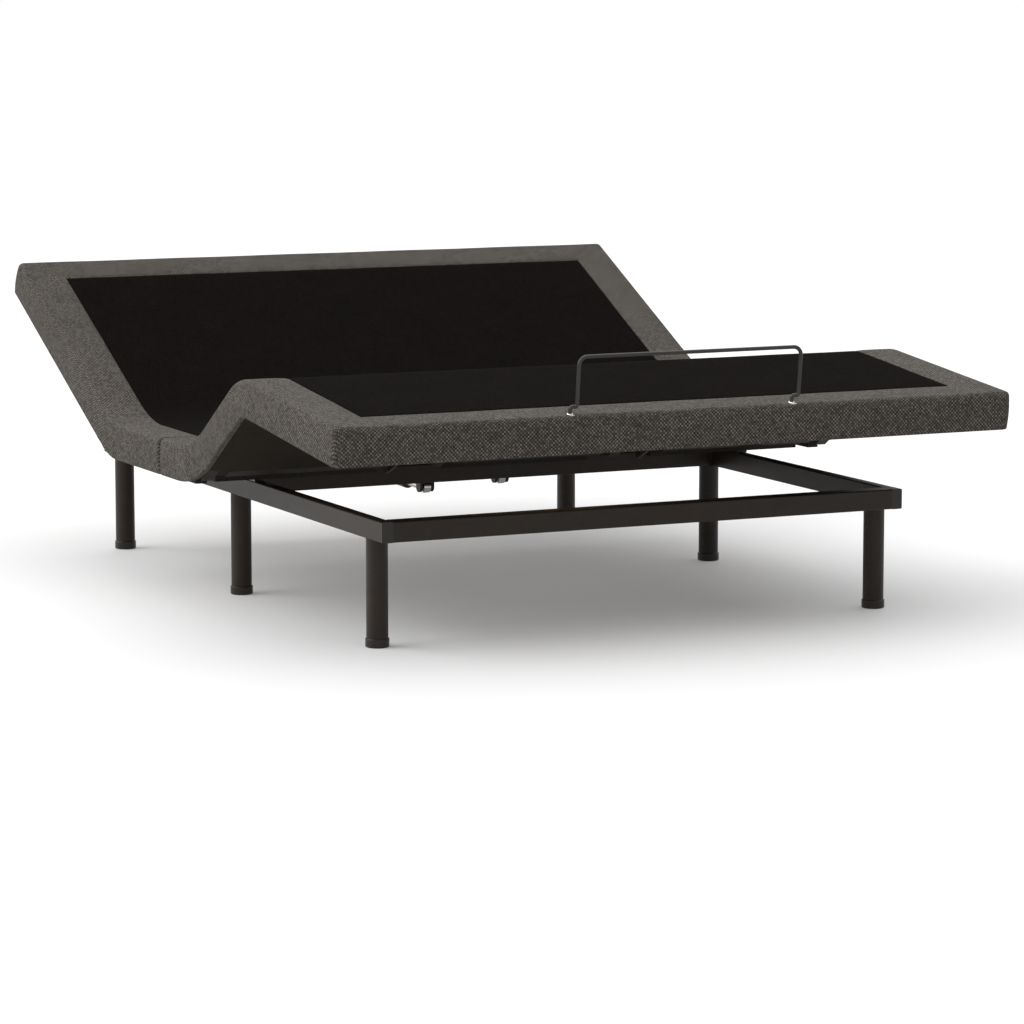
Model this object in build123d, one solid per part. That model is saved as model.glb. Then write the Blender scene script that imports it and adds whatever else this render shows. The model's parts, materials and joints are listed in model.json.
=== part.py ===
"""Adjustable bed base: steel frame on six legs, four upholstered deck sections, two lift linkages.

Millimetres. +Z is up, +Y points to the head end, +X is to the right of someone standing at the
foot end. The origin is on the floor under the middle of the base. The sections are drawn with
the deck flat and then turned about their hinges into the raised position that is stored.
"""
from build123d import *
import math
import os

# ---------------------------------------------------------------- driving dimensions
DECK_WIDTH = 1524.0
DECK_TOP = 349.0
DECK_THICK = 75.5
COVER_WALL = 12.0          # foam and fabric round the sides
COVER_TOP = 10.0           # foam and fabric over the board
BOARD_THICK = 12.0
EDGE_ROUND = 12.0          # long top edges of the upholstery
CORNER_ROUND = 14.0        # upright corners of the upholstery
PANEL_THICK = 0.8          # non-slip cloth let into the middle of the deck
PANEL_INSET = 90.0
PANEL_INSET_HEAD = 81.0

HEAD_HINGE_Y = 313.0
THIGH_HINGE_Y = -187.0
UPPER_AXIS_DEPTH = 16.0    # head and thigh hinge axes below the deck's top
KNEE_AXIS_DEPTH = 62.0
HEAD_LENGTH = 716.0
THIGH_LENGTH = 315.5
LEG_LENGTH = 494.7
SEAT_SEAM_Y = 2.0
HEAD_ANGLE = 26.11         # stored pose
THIGH_ANGLE = 32.51
KNEE_ANGLE = 38.51

HINGE_RADIUS = 12.0        # round end of every hinge plate
PIN_R = 4.0
RUNNING_CLEARANCE = 0.05
HINGE_PLATE = 4.0
HINGE_SIDE_X = (711.0, 186.0)   # inner face of the fixed plate in each half

RAIL_BOTTOM = 220.5
RAIL_TOP = 263.0
RAIL_OUTER_X = 596.0
SIDE_RAIL_WIDTH = 25.0
CROSS_RAIL_DEPTH = 38.0
RAIL_WALL = 2.0
RAIL_ROUND = 3.0
RAIL_END_Y = 822.0
FRAME_MID_Y = 6.0
LEG_PITCH = 745.0
LEG_R = 22.25
CAP_R = 24.5
CAP_HEIGHT = 18.5
STUD_R = 5.0
STUD_REACH = 20.0          # above the floor of the rail
HEADBOARD_X = 480.0        # middle of each pair of holes in the head rail
HEADBOARD_SPACING = 60.0
HEADBOARD_HOLE_R = 4.5
ANCHOR_TUBE_Y = 592.0
ANCHOR_TUBE = 30.0

ARM_X = 250.0              # lift arms, each side of the middle
ARM_THICK = 8.0
LIFT_TUBE_R = 15.0
LIFT_STUB_R = 10.0
HEAD_PIVOT = (176.0, 262.0)
HEAD_ARM = 338.5
HEAD_ARM_ANGLE = 22.0
HEAD_LIFT_RATIO = 0.554
HEAD_ROLLER_R = 20.0
FOOT_PIVOT = (46.0, 280.0)
FOOT_ARM = 430.5
FOOT_ARM_ANGLE = 18.35
FOOT_LIFT_RATIO = 0.45
FOOT_ROLLER_R = 18.0
ROLLER_WIDTH = 22.0
AXLE_R = 5.0

LINK_X = 300.0
LINK_BASE = (-170.0, 281.0)
LINK_LENGTH = 345.0
LINK_ANGLE = 24.5
LINK_THICK = 5.0
LINK_FOOT = (10.0, 38.8)   # beyond the knee axis and below it, leg section flat
LINK_OPEN_CLEARANCE = 1.0

ACTUATOR_REAR = (560.0, 215.0)
HEAD_ACTUATOR_X = 120.0
FOOT_ACTUATOR_X = -120.0
HEAD_LEVER = 65.0
HEAD_LEVER_ANGLE = -100.0
FOOT_LEVER = 75.0
FOOT_LEVER_ANGLE = -92.0
LEVER_PIN_R = 5.0
EYE_CLEARANCE = 2.1        # the rod eye is the open pivot of each actuator's loop
HEAD_EYE_SHIFT = -1.25     # hole off the rod's line, midway along the pin's small arc
HEAD_ARM_DIP = (318.0, 213.0)    # bend of the head lift arm, with the head section flat

BAR_WIRE_R = 4.0
BAR_HALF_SPAN = 250.0
BAR_CENTRE_X = 12.0
BAR_HEIGHT = 116.0
BAR_CORNER = 18.0
BAR_JOG = 15.0
BAR_JOG_HEIGHT = 16.0
BAR_EDGE = 16.0            # from the foot edge of the deck to the sockets

# ---------------------------------------------------------------- worked out
HALF = DECK_WIDTH / 2
CORE = HALF - COVER_WALL
DECK_BOTTOM = DECK_TOP - DECK_THICK
BOARD_TOP = DECK_TOP - COVER_TOP
BOARD_BOTTOM = BOARD_TOP - BOARD_THICK
UPPER_AXIS_Z = DECK_TOP - UPPER_AXIS_DEPTH
KNEE_AXIS_Z = DECK_TOP - KNEE_AXIS_DEPTH
KNEE_Y = THIGH_HINGE_Y - THIGH_LENGTH
HEAD_END_Y = HEAD_HINGE_Y + HEAD_LENGTH
FOOT_END_Y = KNEE_Y - LEG_LENGTH
BATTEN = 25.0
INNER_BATTEN_X = 200.0
SEAT_INNER_BOTTOM = 297.0          # the seat's inner battens pass over the foot lift tube
STRAP_Z = BOARD_BOTTOM - 16.0      # hinge plates run along the battens at this height
STRAP_REACH = 70.0
BOARD_GAP = HINGE_RADIUS + 1.0     # boards stop short of a hinge by this much
FOAM_GAP = 10.6                    # foam above a hinge that folds upwards
KNEE_GAP = 6.5                     # wall below a hinge that folds downwards
JOINT_GAP = 1.0


# ---------------------------------------------------------------- helpers
def block(x0, x1, y0, y1, z0, z1):
    """A box from its two corners."""
    size = (abs(x1 - x0), abs(y1 - y0), abs(z1 - z0))
    return Pos((x0 + x1) / 2, (y0 + y1) / 2, (z0 + z1) / 2) * Box(*size)


def rod(x0, x1, y, z, radius):
    """A round bar along X."""
    return Pos((x0 + x1) / 2, y, z) * Rot(0, 90, 0) * Cylinder(radius, abs(x1 - x0))


def post(x, y, z0, z1, radius):
    """A round bar along Z."""
    return Pos(x, y, (z0 + z1) / 2) * Cylinder(radius, z1 - z0)


def plate(a, b, width, x0, x1):
    """A flat bar with round ends, from point a to point b of the YZ plane, between x0 and x1."""
    length = math.dist(a, b)
    middle = (x0, (a[0] + b[0]) / 2, (a[1] + b[1]) / 2)
    along = (0, b[0] - a[0], b[1] - a[1])
    base = Plane(origin=middle, x_dir=along, z_dir=(1, 0, 0))
    return extrude(base * SlotCenterToCenter(length, width), amount=x1 - x0)


def turn(shape, centre, angle):
    """Turn a shape about the line along X through centre = (y, z)."""
    y, z = centre
    return Pos(0, y, z) * Rot(angle, 0, 0) * Pos(0, -y, -z) * shape


def as_head(shape):
    return turn(shape, (HEAD_HINGE_Y, UPPER_AXIS_Z), HEAD_ANGLE)


def as_thigh(shape):
    return turn(shape, (THIGH_HINGE_Y, UPPER_AXIS_Z), -THIGH_ANGLE)


def as_leg(shape):
    return as_thigh(turn(shape, (KNEE_Y, KNEE_AXIS_Z), KNEE_ANGLE))


def mirror_x(shape):
    return mirror(shape, Plane.YZ)


def both(shape):
    """The shape and its mirror image, as two separate solids."""
    return [shape, mirror_x(shape)]


def solids_of(shapes):
    found = []
    for shape in shapes if isinstance(shapes, (list, tuple)) else [shapes]:
        found.extend(shape.solids())
    return found


def save(node, shapes):
    """Write one node, a single solid or a group of separate ones."""
    found = solids_of(shapes)
    whole = found[0] if len(found) == 1 else Compound(children=found)
    whole.label = node
    export_step(whole, os.path.join("parts", node + ".step"))


# ---------------------------------------------------------------- deck sections, drawn flat
def end_gaps(kind):
    """How far the foam top, the board and the lower wall stop short of a section's end."""
    return {
        "fold_up": (FOAM_GAP, BOARD_GAP, JOINT_GAP),
        "fold_down": (JOINT_GAP, JOINT_GAP, KNEE_GAP),
        "seam": (0.5, 0.0, 0.5),
        "edge": (0.0, COVER_WALL, 0.0),
    }[kind]


def cover(y0, y1, kind0, kind1):
    """Foam and fabric of a section: a tray turned upside down, open where it meets another."""
    top0, _, wall0 = end_gaps(kind0)
    top1, _, wall1 = end_gaps(kind1)
    low, high = y0 + min(top0, wall0), y1 - min(top1, wall1)
    shell = block(-HALF, HALF, low, high, DECK_BOTTOM, DECK_TOP)
    uprights = []
    if kind0 == "edge":
        uprights += [e for e in shell.edges().filter_by(Axis.Z) if abs(e.center().Y - low) < 1]
    if kind1 == "edge":
        uprights += [e for e in shell.edges().filter_by(Axis.Z) if abs(e.center().Y - high) < 1]
    if uprights:
        shell = fillet(uprights, CORNER_ROUND)
    rim = []
    for edge in shell.edges():
        middle = edge.center()
        at_open_end = (kind0 != "edge" and abs(middle.Y - low) < 0.01) or (
            kind1 != "edge" and abs(middle.Y - high) < 0.01)
        if middle.Z > DECK_TOP - 0.01 and not at_open_end:
            rim.append(edge)
    shell = fillet(rim, EDGE_ROUND)
    in0 = y0 + COVER_WALL if kind0 == "edge" else y0 - 50
    in1 = y1 - COVER_WALL if kind1 == "edge" else y1 + 50
    shell -= block(-CORE, CORE, in0, in1, DECK_BOTTOM - 1, BOARD_TOP)
    for y, kind, side in ((y0, kind0, 1), (y1, kind1, -1)):
        if kind == "fold_up":
            shell -= block(-HALF - 1, HALF + 1, y - side, y + side * FOAM_GAP,
                           UPPER_AXIS_Z, DECK_TOP + 1)
        if kind == "fold_down":
            shell -= block(-HALF - 1, HALF + 1, y - side, y + side * KNEE_GAP,
                           DECK_BOTTOM - 1, KNEE_AXIS_Z)
    return shell


def board(y0, y1, kind0, kind1):
    """The plywood board under the foam."""
    gap0, gap1 = end_gaps(kind0)[1], end_gaps(kind1)[1]
    return block(-CORE + 0.5, CORE - 0.5, y0 + gap0 + 0.2, y1 - gap1 - 0.2, BOARD_BOTTOM, BOARD_TOP)


def battens(y0, y1, kind0, kind1, inner_bottom=DECK_BOTTOM):
    """Timber under the board: two side battens, two inner ones and a broken row at each end."""
    start = y0 + {"fold_up": JOINT_GAP, "fold_down": KNEE_GAP, "edge": COVER_WALL + 0.5}[kind0]
    stop = y1 - {"fold_up": JOINT_GAP, "fold_down": KNEE_GAP, "edge": COVER_WALL + 0.5}[kind1]
    side = block(CORE - 0.5 - BATTEN, CORE - 0.5, start, stop, DECK_BOTTOM, BOARD_BOTTOM)
    inner = block(INNER_BATTEN_X, INNER_BATTEN_X + BATTEN, start, stop, inner_bottom, BOARD_BOTTOM)
    pieces = both(side) + both(inner)
    for y, kind, way in ((start, kind0, 1), (stop, kind1, -1)):
        row = y if kind == "edge" else y + way * 14
        outer = (330.0, CORE - 0.5 - BATTEN - 24.0)
        pieces += both(block(*outer, row, row + way * BATTEN, DECK_BOTTOM, BOARD_BOTTOM))
        pieces.append(block(-176.0, 176.0, row, row + way * BATTEN, DECK_BOTTOM, BOARD_BOTTOM))
    return pieces


def dust_cover(y0, y1, kind0, kind1):
    """Black cloth stapled under a section, each side of the lift arms."""
    start = y0 + (COVER_WALL if kind0 == "edge" else 8.0)
    stop = y1 - (COVER_WALL if kind1 == "edge" else 8.0)
    return both(block(335.0, HALF - 8.0, start, stop, DECK_BOTTOM - 1.0, DECK_BOTTOM))


def panel(y0, y1, inset0, inset1):
    """Black non-slip cloth on the top of a section."""
    reach = HALF - PANEL_INSET
    return block(-reach, reach, y0 + inset0, y1 - inset1, DECK_TOP, DECK_TOP + PANEL_THICK)


# ---------------------------------------------------------------- hinges
def hinge_plates(y, z, way, x_inner):
    """Steel plates on one side of a hinge, way = +1 towards the head and -1 towards the foot.

    Each plate is an angle from the pin to the batten, with a boss that meets the batten's face.
    """
    plates = []
    far = (y + way * STRAP_REACH, STRAP_Z)
    for x, batten_face in zip(x_inner, (CORE - 0.5 - BATTEN, INNER_BATTEN_X)):
        strap = plate((y, z), (y, STRAP_Z), 2 * HINGE_RADIUS, x, x + HINGE_PLATE)
        strap += plate((y, STRAP_Z), far, 2 * HINGE_RADIUS, x, x + HINGE_PLATE)
        strap += rod(x + HINGE_PLATE, batten_face, *far, 8.0)
        strap -= rod(x - 1, x + HINGE_PLATE + 1, y, z, PIN_R + RUNNING_CLEARANCE)
        plates += both(strap)
    return plates


def hinge_pins(y, z, x_inner):
    """Shoulder bolts: a shank through both plates with a head at each side."""
    pins = []
    for x in x_inner:
        outer = x + 2 * HINGE_PLATE + 0.5
        pin = rod(x - 2.5, outer + 2.5, y, z, PIN_R)
        pin += rod(x - 5.5, x - 0.4, y, z, 7.0)
        pin += rod(outer + 0.4, outer + 4.5, y, z, 7.0)
        pins += both(pin)
    return pins


# ---------------------------------------------------------------- steel frame
def tube_along_y(x0, x1, y0, y1):
    outer = block(x0, x1, y0, y1, RAIL_BOTTOM, RAIL_TOP)
    outer = fillet(outer.edges().filter_by(Axis.Y), RAIL_ROUND)
    return outer - block(x0 + RAIL_WALL, x1 - RAIL_WALL, y0 - 1, y1 + 1,
                         RAIL_BOTTOM + RAIL_WALL, RAIL_TOP - RAIL_WALL)


def side_rail(side):
    inner_x = RAIL_OUTER_X - SIDE_RAIL_WIDTH
    y0, y1 = FRAME_MID_Y - RAIL_END_Y, FRAME_MID_Y + RAIL_END_Y
    rail = tube_along_y(inner_x, RAIL_OUTER_X, y0 + 2, y1 - 2)
    for y in leg_rows():
        rail -= post(inner_x + SIDE_RAIL_WIDTH / 2, y, RAIL_BOTTOM - 1,
                     RAIL_BOTTOM + RAIL_WALL + 1, STUD_R + 0.5)
    return rail if side > 0 else mirror_x(rail)


def cross_rail(y_front):
    reach = RAIL_OUTER_X - SIDE_RAIL_WIDTH
    outer = block(-reach, reach, y_front, y_front + CROSS_RAIL_DEPTH, RAIL_BOTTOM, RAIL_TOP)
    outer = fillet(outer.edges().filter_by(Axis.X), RAIL_ROUND)
    return outer - block(-reach - 1, reach + 1, y_front + RAIL_WALL,
                         y_front + CROSS_RAIL_DEPTH - RAIL_WALL,
                         RAIL_BOTTOM + RAIL_WALL, RAIL_TOP - RAIL_WALL)


def rail_end_caps():
    caps = []
    inner_x = RAIL_OUTER_X - SIDE_RAIL_WIDTH
    for way in (-1, 1):
        end = FRAME_MID_Y + way * RAIL_END_Y
        face = block(inner_x, RAIL_OUTER_X, end - way * 2, end, RAIL_BOTTOM, RAIL_TOP)
        face = fillet(face.edges().filter_by(Axis.Y), RAIL_ROUND)
        plug = block(inner_x + RAIL_WALL + 0.1, RAIL_OUTER_X - RAIL_WALL - 0.1, end - way * 16,
                     end - way * 2, RAIL_BOTTOM + RAIL_WALL + 0.1, RAIL_TOP - RAIL_WALL - 0.1)
        caps += both(face + plug)
    return caps


def anchor_tube():
    """Cross tube that both actuators push and pull against, with two clevis ears for each."""
    reach = RAIL_OUTER_X - SIDE_RAIL_WIDTH
    y0, y1 = ANCHOR_TUBE_Y - ANCHOR_TUBE / 2, ANCHOR_TUBE_Y + ANCHOR_TUBE / 2
    z0 = ACTUATOR_REAR[1] + 8.0
    z1 = z0 + ANCHOR_TUBE
    tube = block(-reach, reach, y0, y1, z0, z1)
    tube -= block(-reach - 1, reach + 1, y0 + 2, y1 - 2, z0 + 2, z1 - 2)
    for centre in (HEAD_ACTUATOR_X, FOOT_ACTUATOR_X):
        for x in (centre - 18.0, centre + 12.0):
            ear = plate(ACTUATOR_REAR, (y0 + 2, z0 + 10.0), 22.0, x, x + 6.0)
            ear -= block(x - 1, x + 7, y0 + 1.0, y1, z0 - 20, z1 + 20)
            ear -= rod(x - 1, x + 7, *ACTUATOR_REAR, LEVER_PIN_R)
            tube += ear
    return tube


def leg_rows():
    return [FRAME_MID_Y + k * LEG_PITCH for k in (-1, 0, 1)]


def leg(side, y):
    tube = post(side * (RAIL_OUTER_X - LEG_R), y, 3.0, RAIL_BOTTOM, LEG_R)
    return tube - post(side * (RAIL_OUTER_X - LEG_R), y, 2.0, RAIL_BOTTOM - 3.0, LEG_R - 1.5)


def foot_cap(side, y):
    cap = post(side * (RAIL_OUTER_X - LEG_R), y, 0.0, CAP_HEIGHT, CAP_R)
    cap = fillet(cap.edges().filter_by(GeomType.CIRCLE).sort_by(Axis.Z)[-1:], 1.8)
    cap = fillet(cap.edges().filter_by(GeomType.CIRCLE).sort_by(Axis.Z)[:1], 3.0)
    return cap - post(side * (RAIL_OUTER_X - LEG_R), y, 3.0, CAP_HEIGHT + 1, LEG_R)


def leg_studs():
    """Threaded studs on the legs, held by hexagon nuts inside the rails."""
    studs = []
    x = RAIL_OUTER_X - SIDE_RAIL_WIDTH / 2
    floor = RAIL_BOTTOM + RAIL_WALL
    for y in leg_rows():
        nut = Pos(x, y, floor + 0.1) * extrude(RegularPolygon(9.0, 6), amount=8.0)
        studs += both(nut + post(x, y, RAIL_BOTTOM, floor + STUD_REACH, STUD_R))
    return studs


def seat_spacers():
    """Blocks between the side rails and the board of the seat section."""
    inner_x = RAIL_OUTER_X - SIDE_RAIL_WIDTH
    rows = (-108.0, 100.0, 234.0)
    return [s for y in rows for s in both(
        block(inner_x, RAIL_OUTER_X, y - 25, y + 25, RAIL_TOP, BOARD_BOTTOM))]


def head_rail():
    """The rail at the head end has two pairs of holes for bolting on headboard brackets."""
    y_front = FRAME_MID_Y + RAIL_END_Y - CROSS_RAIL_DEPTH
    rail = cross_rail(y_front)
    back = y_front + CROSS_RAIL_DEPTH
    for side in (-1, 1):
        for step in (-1, 1):
            x = side * HEADBOARD_X + step * HEADBOARD_SPACING / 2
            z = (RAIL_BOTTOM + RAIL_TOP) / 2
            rail -= Pos(x, back, z) * Rot(90, 0, 0) * Cylinder(HEADBOARD_HOLE_R, 3 * RAIL_WALL)
    return rail


# ---------------------------------------------------------------- lift linkages
def at_angle(start, length, angle):
    radians = math.radians(angle)
    return (start[0] + length * math.cos(radians), start[1] + length * math.sin(radians))


def rotated(point, centre, angle):
    radians = math.radians(angle)
    dy, dz = point[0] - centre[0], point[1] - centre[1]
    return (centre[0] + dy * math.cos(radians) - dz * math.sin(radians),
            centre[1] + dy * math.sin(radians) + dz * math.cos(radians))


def head_roller_point():
    return at_angle(HEAD_PIVOT, HEAD_ARM, HEAD_ARM_ANGLE)


def foot_roller_point():
    return at_angle(FOOT_PIVOT, FOOT_ARM, 180.0 - FOOT_ARM_ANGLE)


def head_arm_line():
    """The arm dips under the head hinge, so that it clears the seat board when it is up."""
    turned = HEAD_LIFT_RATIO * HEAD_ANGLE
    dip = rotated(HEAD_ARM_DIP, HEAD_PIVOT, turned)
    return [HEAD_PIVOT, dip, head_roller_point()]


def foot_arm_line():
    """The arm goes over the middle rail, dips under the thigh hinge and rises to its roller."""
    turned = -FOOT_LIFT_RATIO * THIGH_ANGLE
    over = rotated((-22.0, 279.5), FOOT_PIVOT, turned)
    dip = rotated((THIGH_HINGE_Y, 240.0), FOOT_PIVOT, turned)
    return [FOOT_PIVOT, over, dip, foot_roller_point()]


def lift_tube(pivot, line, lever_x, lever_length, lever_angle):
    """Cross tube with stub ends, two cranked arms with roller axles, and the actuator's lever."""
    tube = rod(-558.0, 558.0, *pivot, LIFT_TUBE_R) + rod(-570.6, 570.6, *pivot, LIFT_STUB_R)
    for x in (ARM_X - ARM_THICK / 2, -ARM_X - ARM_THICK / 2):
        for a, b in zip(line, line[1:]):
            tube += plate(a, b, 22.0, x, x + ARM_THICK)
    end = line[-1]
    axle = rod(ARM_X, ARM_X + ARM_THICK / 2 + ROLLER_WIDTH + 6.0, *end, AXLE_R)
    axle += rod(ARM_X + ARM_THICK / 2 + ROLLER_WIDTH + 2.5, ARM_X + ARM_THICK / 2 + ROLLER_WIDTH + 6.0,
                *end, AXLE_R + 3.0)
    tube += axle + mirror_x(axle)
    pin_at = at_angle(pivot, lever_length, lever_angle)
    for x in (lever_x - 17.0, lever_x + 11.0):
        tube += plate(pivot, pin_at, 24.0, x, x + 6.0)
    tube += rod(lever_x - 17.0, lever_x + 17.0, *pin_at, LEVER_PIN_R)
    return tube


def rollers(centre, radius):
    """Nylon rollers on the ends of the arms."""
    x0 = ARM_X + ARM_THICK / 2 + 1.0
    wheel = rod(x0, x0 + ROLLER_WIDTH, *centre, radius)
    wheel = fillet(wheel.edges().filter_by(GeomType.CIRCLE), 2.0)
    wheel -= rod(x0 - 1, x0 + ROLLER_WIDTH + 1, *centre, AXLE_R + RUNNING_CLEARANCE)
    return both(wheel)


def lift_tube_brackets():
    """Bearing plates that hold both lift tubes to the side rails."""
    plates = []
    face = RAIL_OUTER_X - SIDE_RAIL_WIDTH
    for y, z in (HEAD_PIVOT, FOOT_PIVOT):
        bearing = block(face - 7.0, face, y - 19.0, y + 24.0, RAIL_BOTTOM + 4, z + 20.0)
        bearing -= rod(face - 8, face + 1, y, z, LIFT_STUB_R + RUNNING_CLEARANCE)
        plates += both(bearing)
    return plates


def hanger(x, point, hole_r, y_reach):
    """An angle bracket under a board with one ear that reaches down to a pivot."""
    y, z = point
    ear = plate((y, z), (y, BOARD_BOTTOM - 16.0), 24.0, x, x + LINK_THICK)
    ear += block(x, x + LINK_THICK, y - 20, y + y_reach, BOARD_BOTTOM - 16, BOARD_BOTTOM)
    ear += block(x, x + 18.0, y - 20, y + y_reach, BOARD_BOTTOM - 4.0, BOARD_BOTTOM)
    ear -= rod(x - 1, x + LINK_THICK + 1, y, z, hole_r)
    return ear


def link_foot_flat():
    return (KNEE_Y - LINK_FOOT[0], KNEE_AXIS_Z - LINK_FOOT[1])


def seat_link_brackets():
    bracket = hanger(LINK_X + LINK_THICK + 0.5, LINK_BASE, 5.0, 14.0)
    pin = rod(LINK_X - 3.0, LINK_X + 2 * LINK_THICK + 0.5, *LINK_BASE, 5.0)
    return both(bracket + pin)


def leg_link_brackets():
    """The pin here is the open pivot of the four-bar loop that levels the leg section."""
    point = link_foot_flat()
    bracket = hanger(LINK_X + LINK_THICK + 0.5, point, 5.0, 6.0)
    bracket += rod(LINK_X - 3.0, LINK_X + 2 * LINK_THICK + 0.5, *point, 5.0)
    return [as_leg(s) for s in both(bracket)]


def leg_links():
    tip = at_angle(LINK_BASE, LINK_LENGTH, 180.0 - LINK_ANGLE)
    bar = plate(LINK_BASE, tip, 20.0, LINK_X, LINK_X + LINK_THICK)
    bar -= rod(LINK_X - 1, LINK_X + LINK_THICK + 1, *LINK_BASE, 5.0 + RUNNING_CLEARANCE)
    bar -= rod(LINK_X - 1, LINK_X + LINK_THICK + 1, *tip, 5.0 + LINK_OPEN_CLEARANCE)
    return both(bar)


# ---------------------------------------------------------------- actuators
def along_actuator(shape, tip):
    """Lay a shape drawn along +Y from the rear pivot, along the line from there to tip."""
    dy, dz = tip[0] - ACTUATOR_REAR[0], tip[1] - ACTUATOR_REAR[1]
    angle = math.degrees(math.atan2(dz, dy))
    return Pos(0, *ACTUATOR_REAR) * Rot(angle, 0, 0) * shape


def cylinder_y(x, y0, y1, radius):
    return Pos(x, (y0 + y1) / 2, 0) * Rot(90, 0, 0) * Cylinder(radius, y1 - y0)


def actuator_body(x, tip):
    """Rear eye, gearbox, motor across it and outer tube, in one casing."""
    span = math.dist(ACTUATOR_REAR, tip)
    body = block(x - 11.5, x + 11.5, -11.0, 30.0, -11.0, 11.0)
    body -= rod(x - 13, x + 13, 0, 0, LEVER_PIN_R + RUNNING_CLEARANCE)
    gearbox = fillet(block(x - 36, x + 36, 28.0, 100.0, -24.0, 24.0).edges(), 6.0)
    body += gearbox
    motor = Pos(x, 64.0, 0) * Rot(0, 90, 0) * Cylinder(23.0, 150.0)
    body += fillet(motor.edges(), 4.0)
    body += cylinder_y(x, 95.0, span - 95.0, 17.0)
    body -= cylinder_y(x, 110.0, span - 80.0, 10.05)
    return along_actuator(body, tip)


def actuator_pin(x):
    """Clevis pin that joins the casing's rear eye to the anchor tube's ears."""
    return rod(x - 20.0, x + 20.0, *ACTUATOR_REAR, LEVER_PIN_R)


def actuator_rod(x, tip, shift=0.0):
    """Push rod and its eye. The eye's hole is wide because the loop is open here."""
    span = math.dist(ACTUATOR_REAR, tip)
    bar = cylinder_y(x, 175.0, span - 12.0, 10.0)
    eye = rod(x - 8.0, x + 8.0, span, 0, 14.0)
    bar = bar + eye - rod(x - 9.0, x + 9.0, span, shift, LEVER_PIN_R + EYE_CLEARANCE)
    return along_actuator(bar, tip)


# ---------------------------------------------------------------- electrics
def control_box():
    """Motor controller hung under the seat section, with its sockets."""
    box = block(-66.0, 66.0, 300.0, 420.0, 196.0, 240.0)
    box = fillet(box.edges(), 5.0)
    for x in (-44.0, -22.0, 0.0, 22.0, 44.0):
        box -= block(x - 7.0, x + 7.0, 416.0, 421.0, 209.0, 221.0)
    return box


def control_strap():
    """Steel strap that carries the controller and the power supply between the cross rails."""
    strap = block(-15.0, 15.0, 25.0, 577.0, 240.0, 243.0)
    return strap


def power_supply():
    """Mains power supply on the same strap; its inlet socket faces the head end."""
    box = fillet(block(-42.0, 42.0, 430.0, 545.0, 186.0, 240.0).edges(), 5.0)
    box -= block(-12.0, 12.0, 530.0, 546.0, 204.0, 222.0)
    return box


# ---------------------------------------------------------------- mattress retainer bar
def retainer_bar():
    """Bent wire: down from the top, a step to the side, then into the socket."""
    y = FOOT_END_Y + BAR_EDGE
    top = DECK_TOP + BAR_HEIGHT
    step = DECK_TOP + BAR_JOG_HEIGHT
    points = []
    for side in (-1, 1):
        x = BAR_CENTRE_X + side * BAR_HALF_SPAN
        foot = [(x - BAR_JOG, y, DECK_TOP - 6.0), (x - BAR_JOG, y, step), (x, y, step), (x, y, top)]
        points += foot if side < 0 else foot[::-1]
    radii = [5.0, 5.0, BAR_CORNER, BAR_CORNER, 5.0, 5.0]
    path = FilletPolyline(*points, radius=radii)
    return sweep(Plane(origin=points[0], z_dir=(0, 0, 1)) * Circle(BAR_WIRE_R), path=path)


def bar_feet():
    """X of the two feet of the bar."""
    return [BAR_CENTRE_X + side * BAR_HALF_SPAN - BAR_JOG for side in (-1, 1)]


def retainer_sockets():
    """Steel sockets sunk in the foot edge, each with a flange on the fabric."""
    y = FOOT_END_Y + BAR_EDGE
    sockets = []
    for x in bar_feet():
        body = post(x, y, DECK_TOP - 9.0, DECK_TOP, 7.0) + post(x, y, DECK_TOP, DECK_TOP + 1.6, 11.0)
        sockets.append(body - post(x, y, DECK_TOP - 7.0, DECK_TOP + 3.0, BAR_WIRE_R + 0.1))
    return sockets


def socket_seats():
    y = FOOT_END_Y + BAR_EDGE
    return [post(x, y, DECK_TOP - 9.0, DECK_TOP + 1.0, 7.0) for x in bar_feet()]


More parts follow.
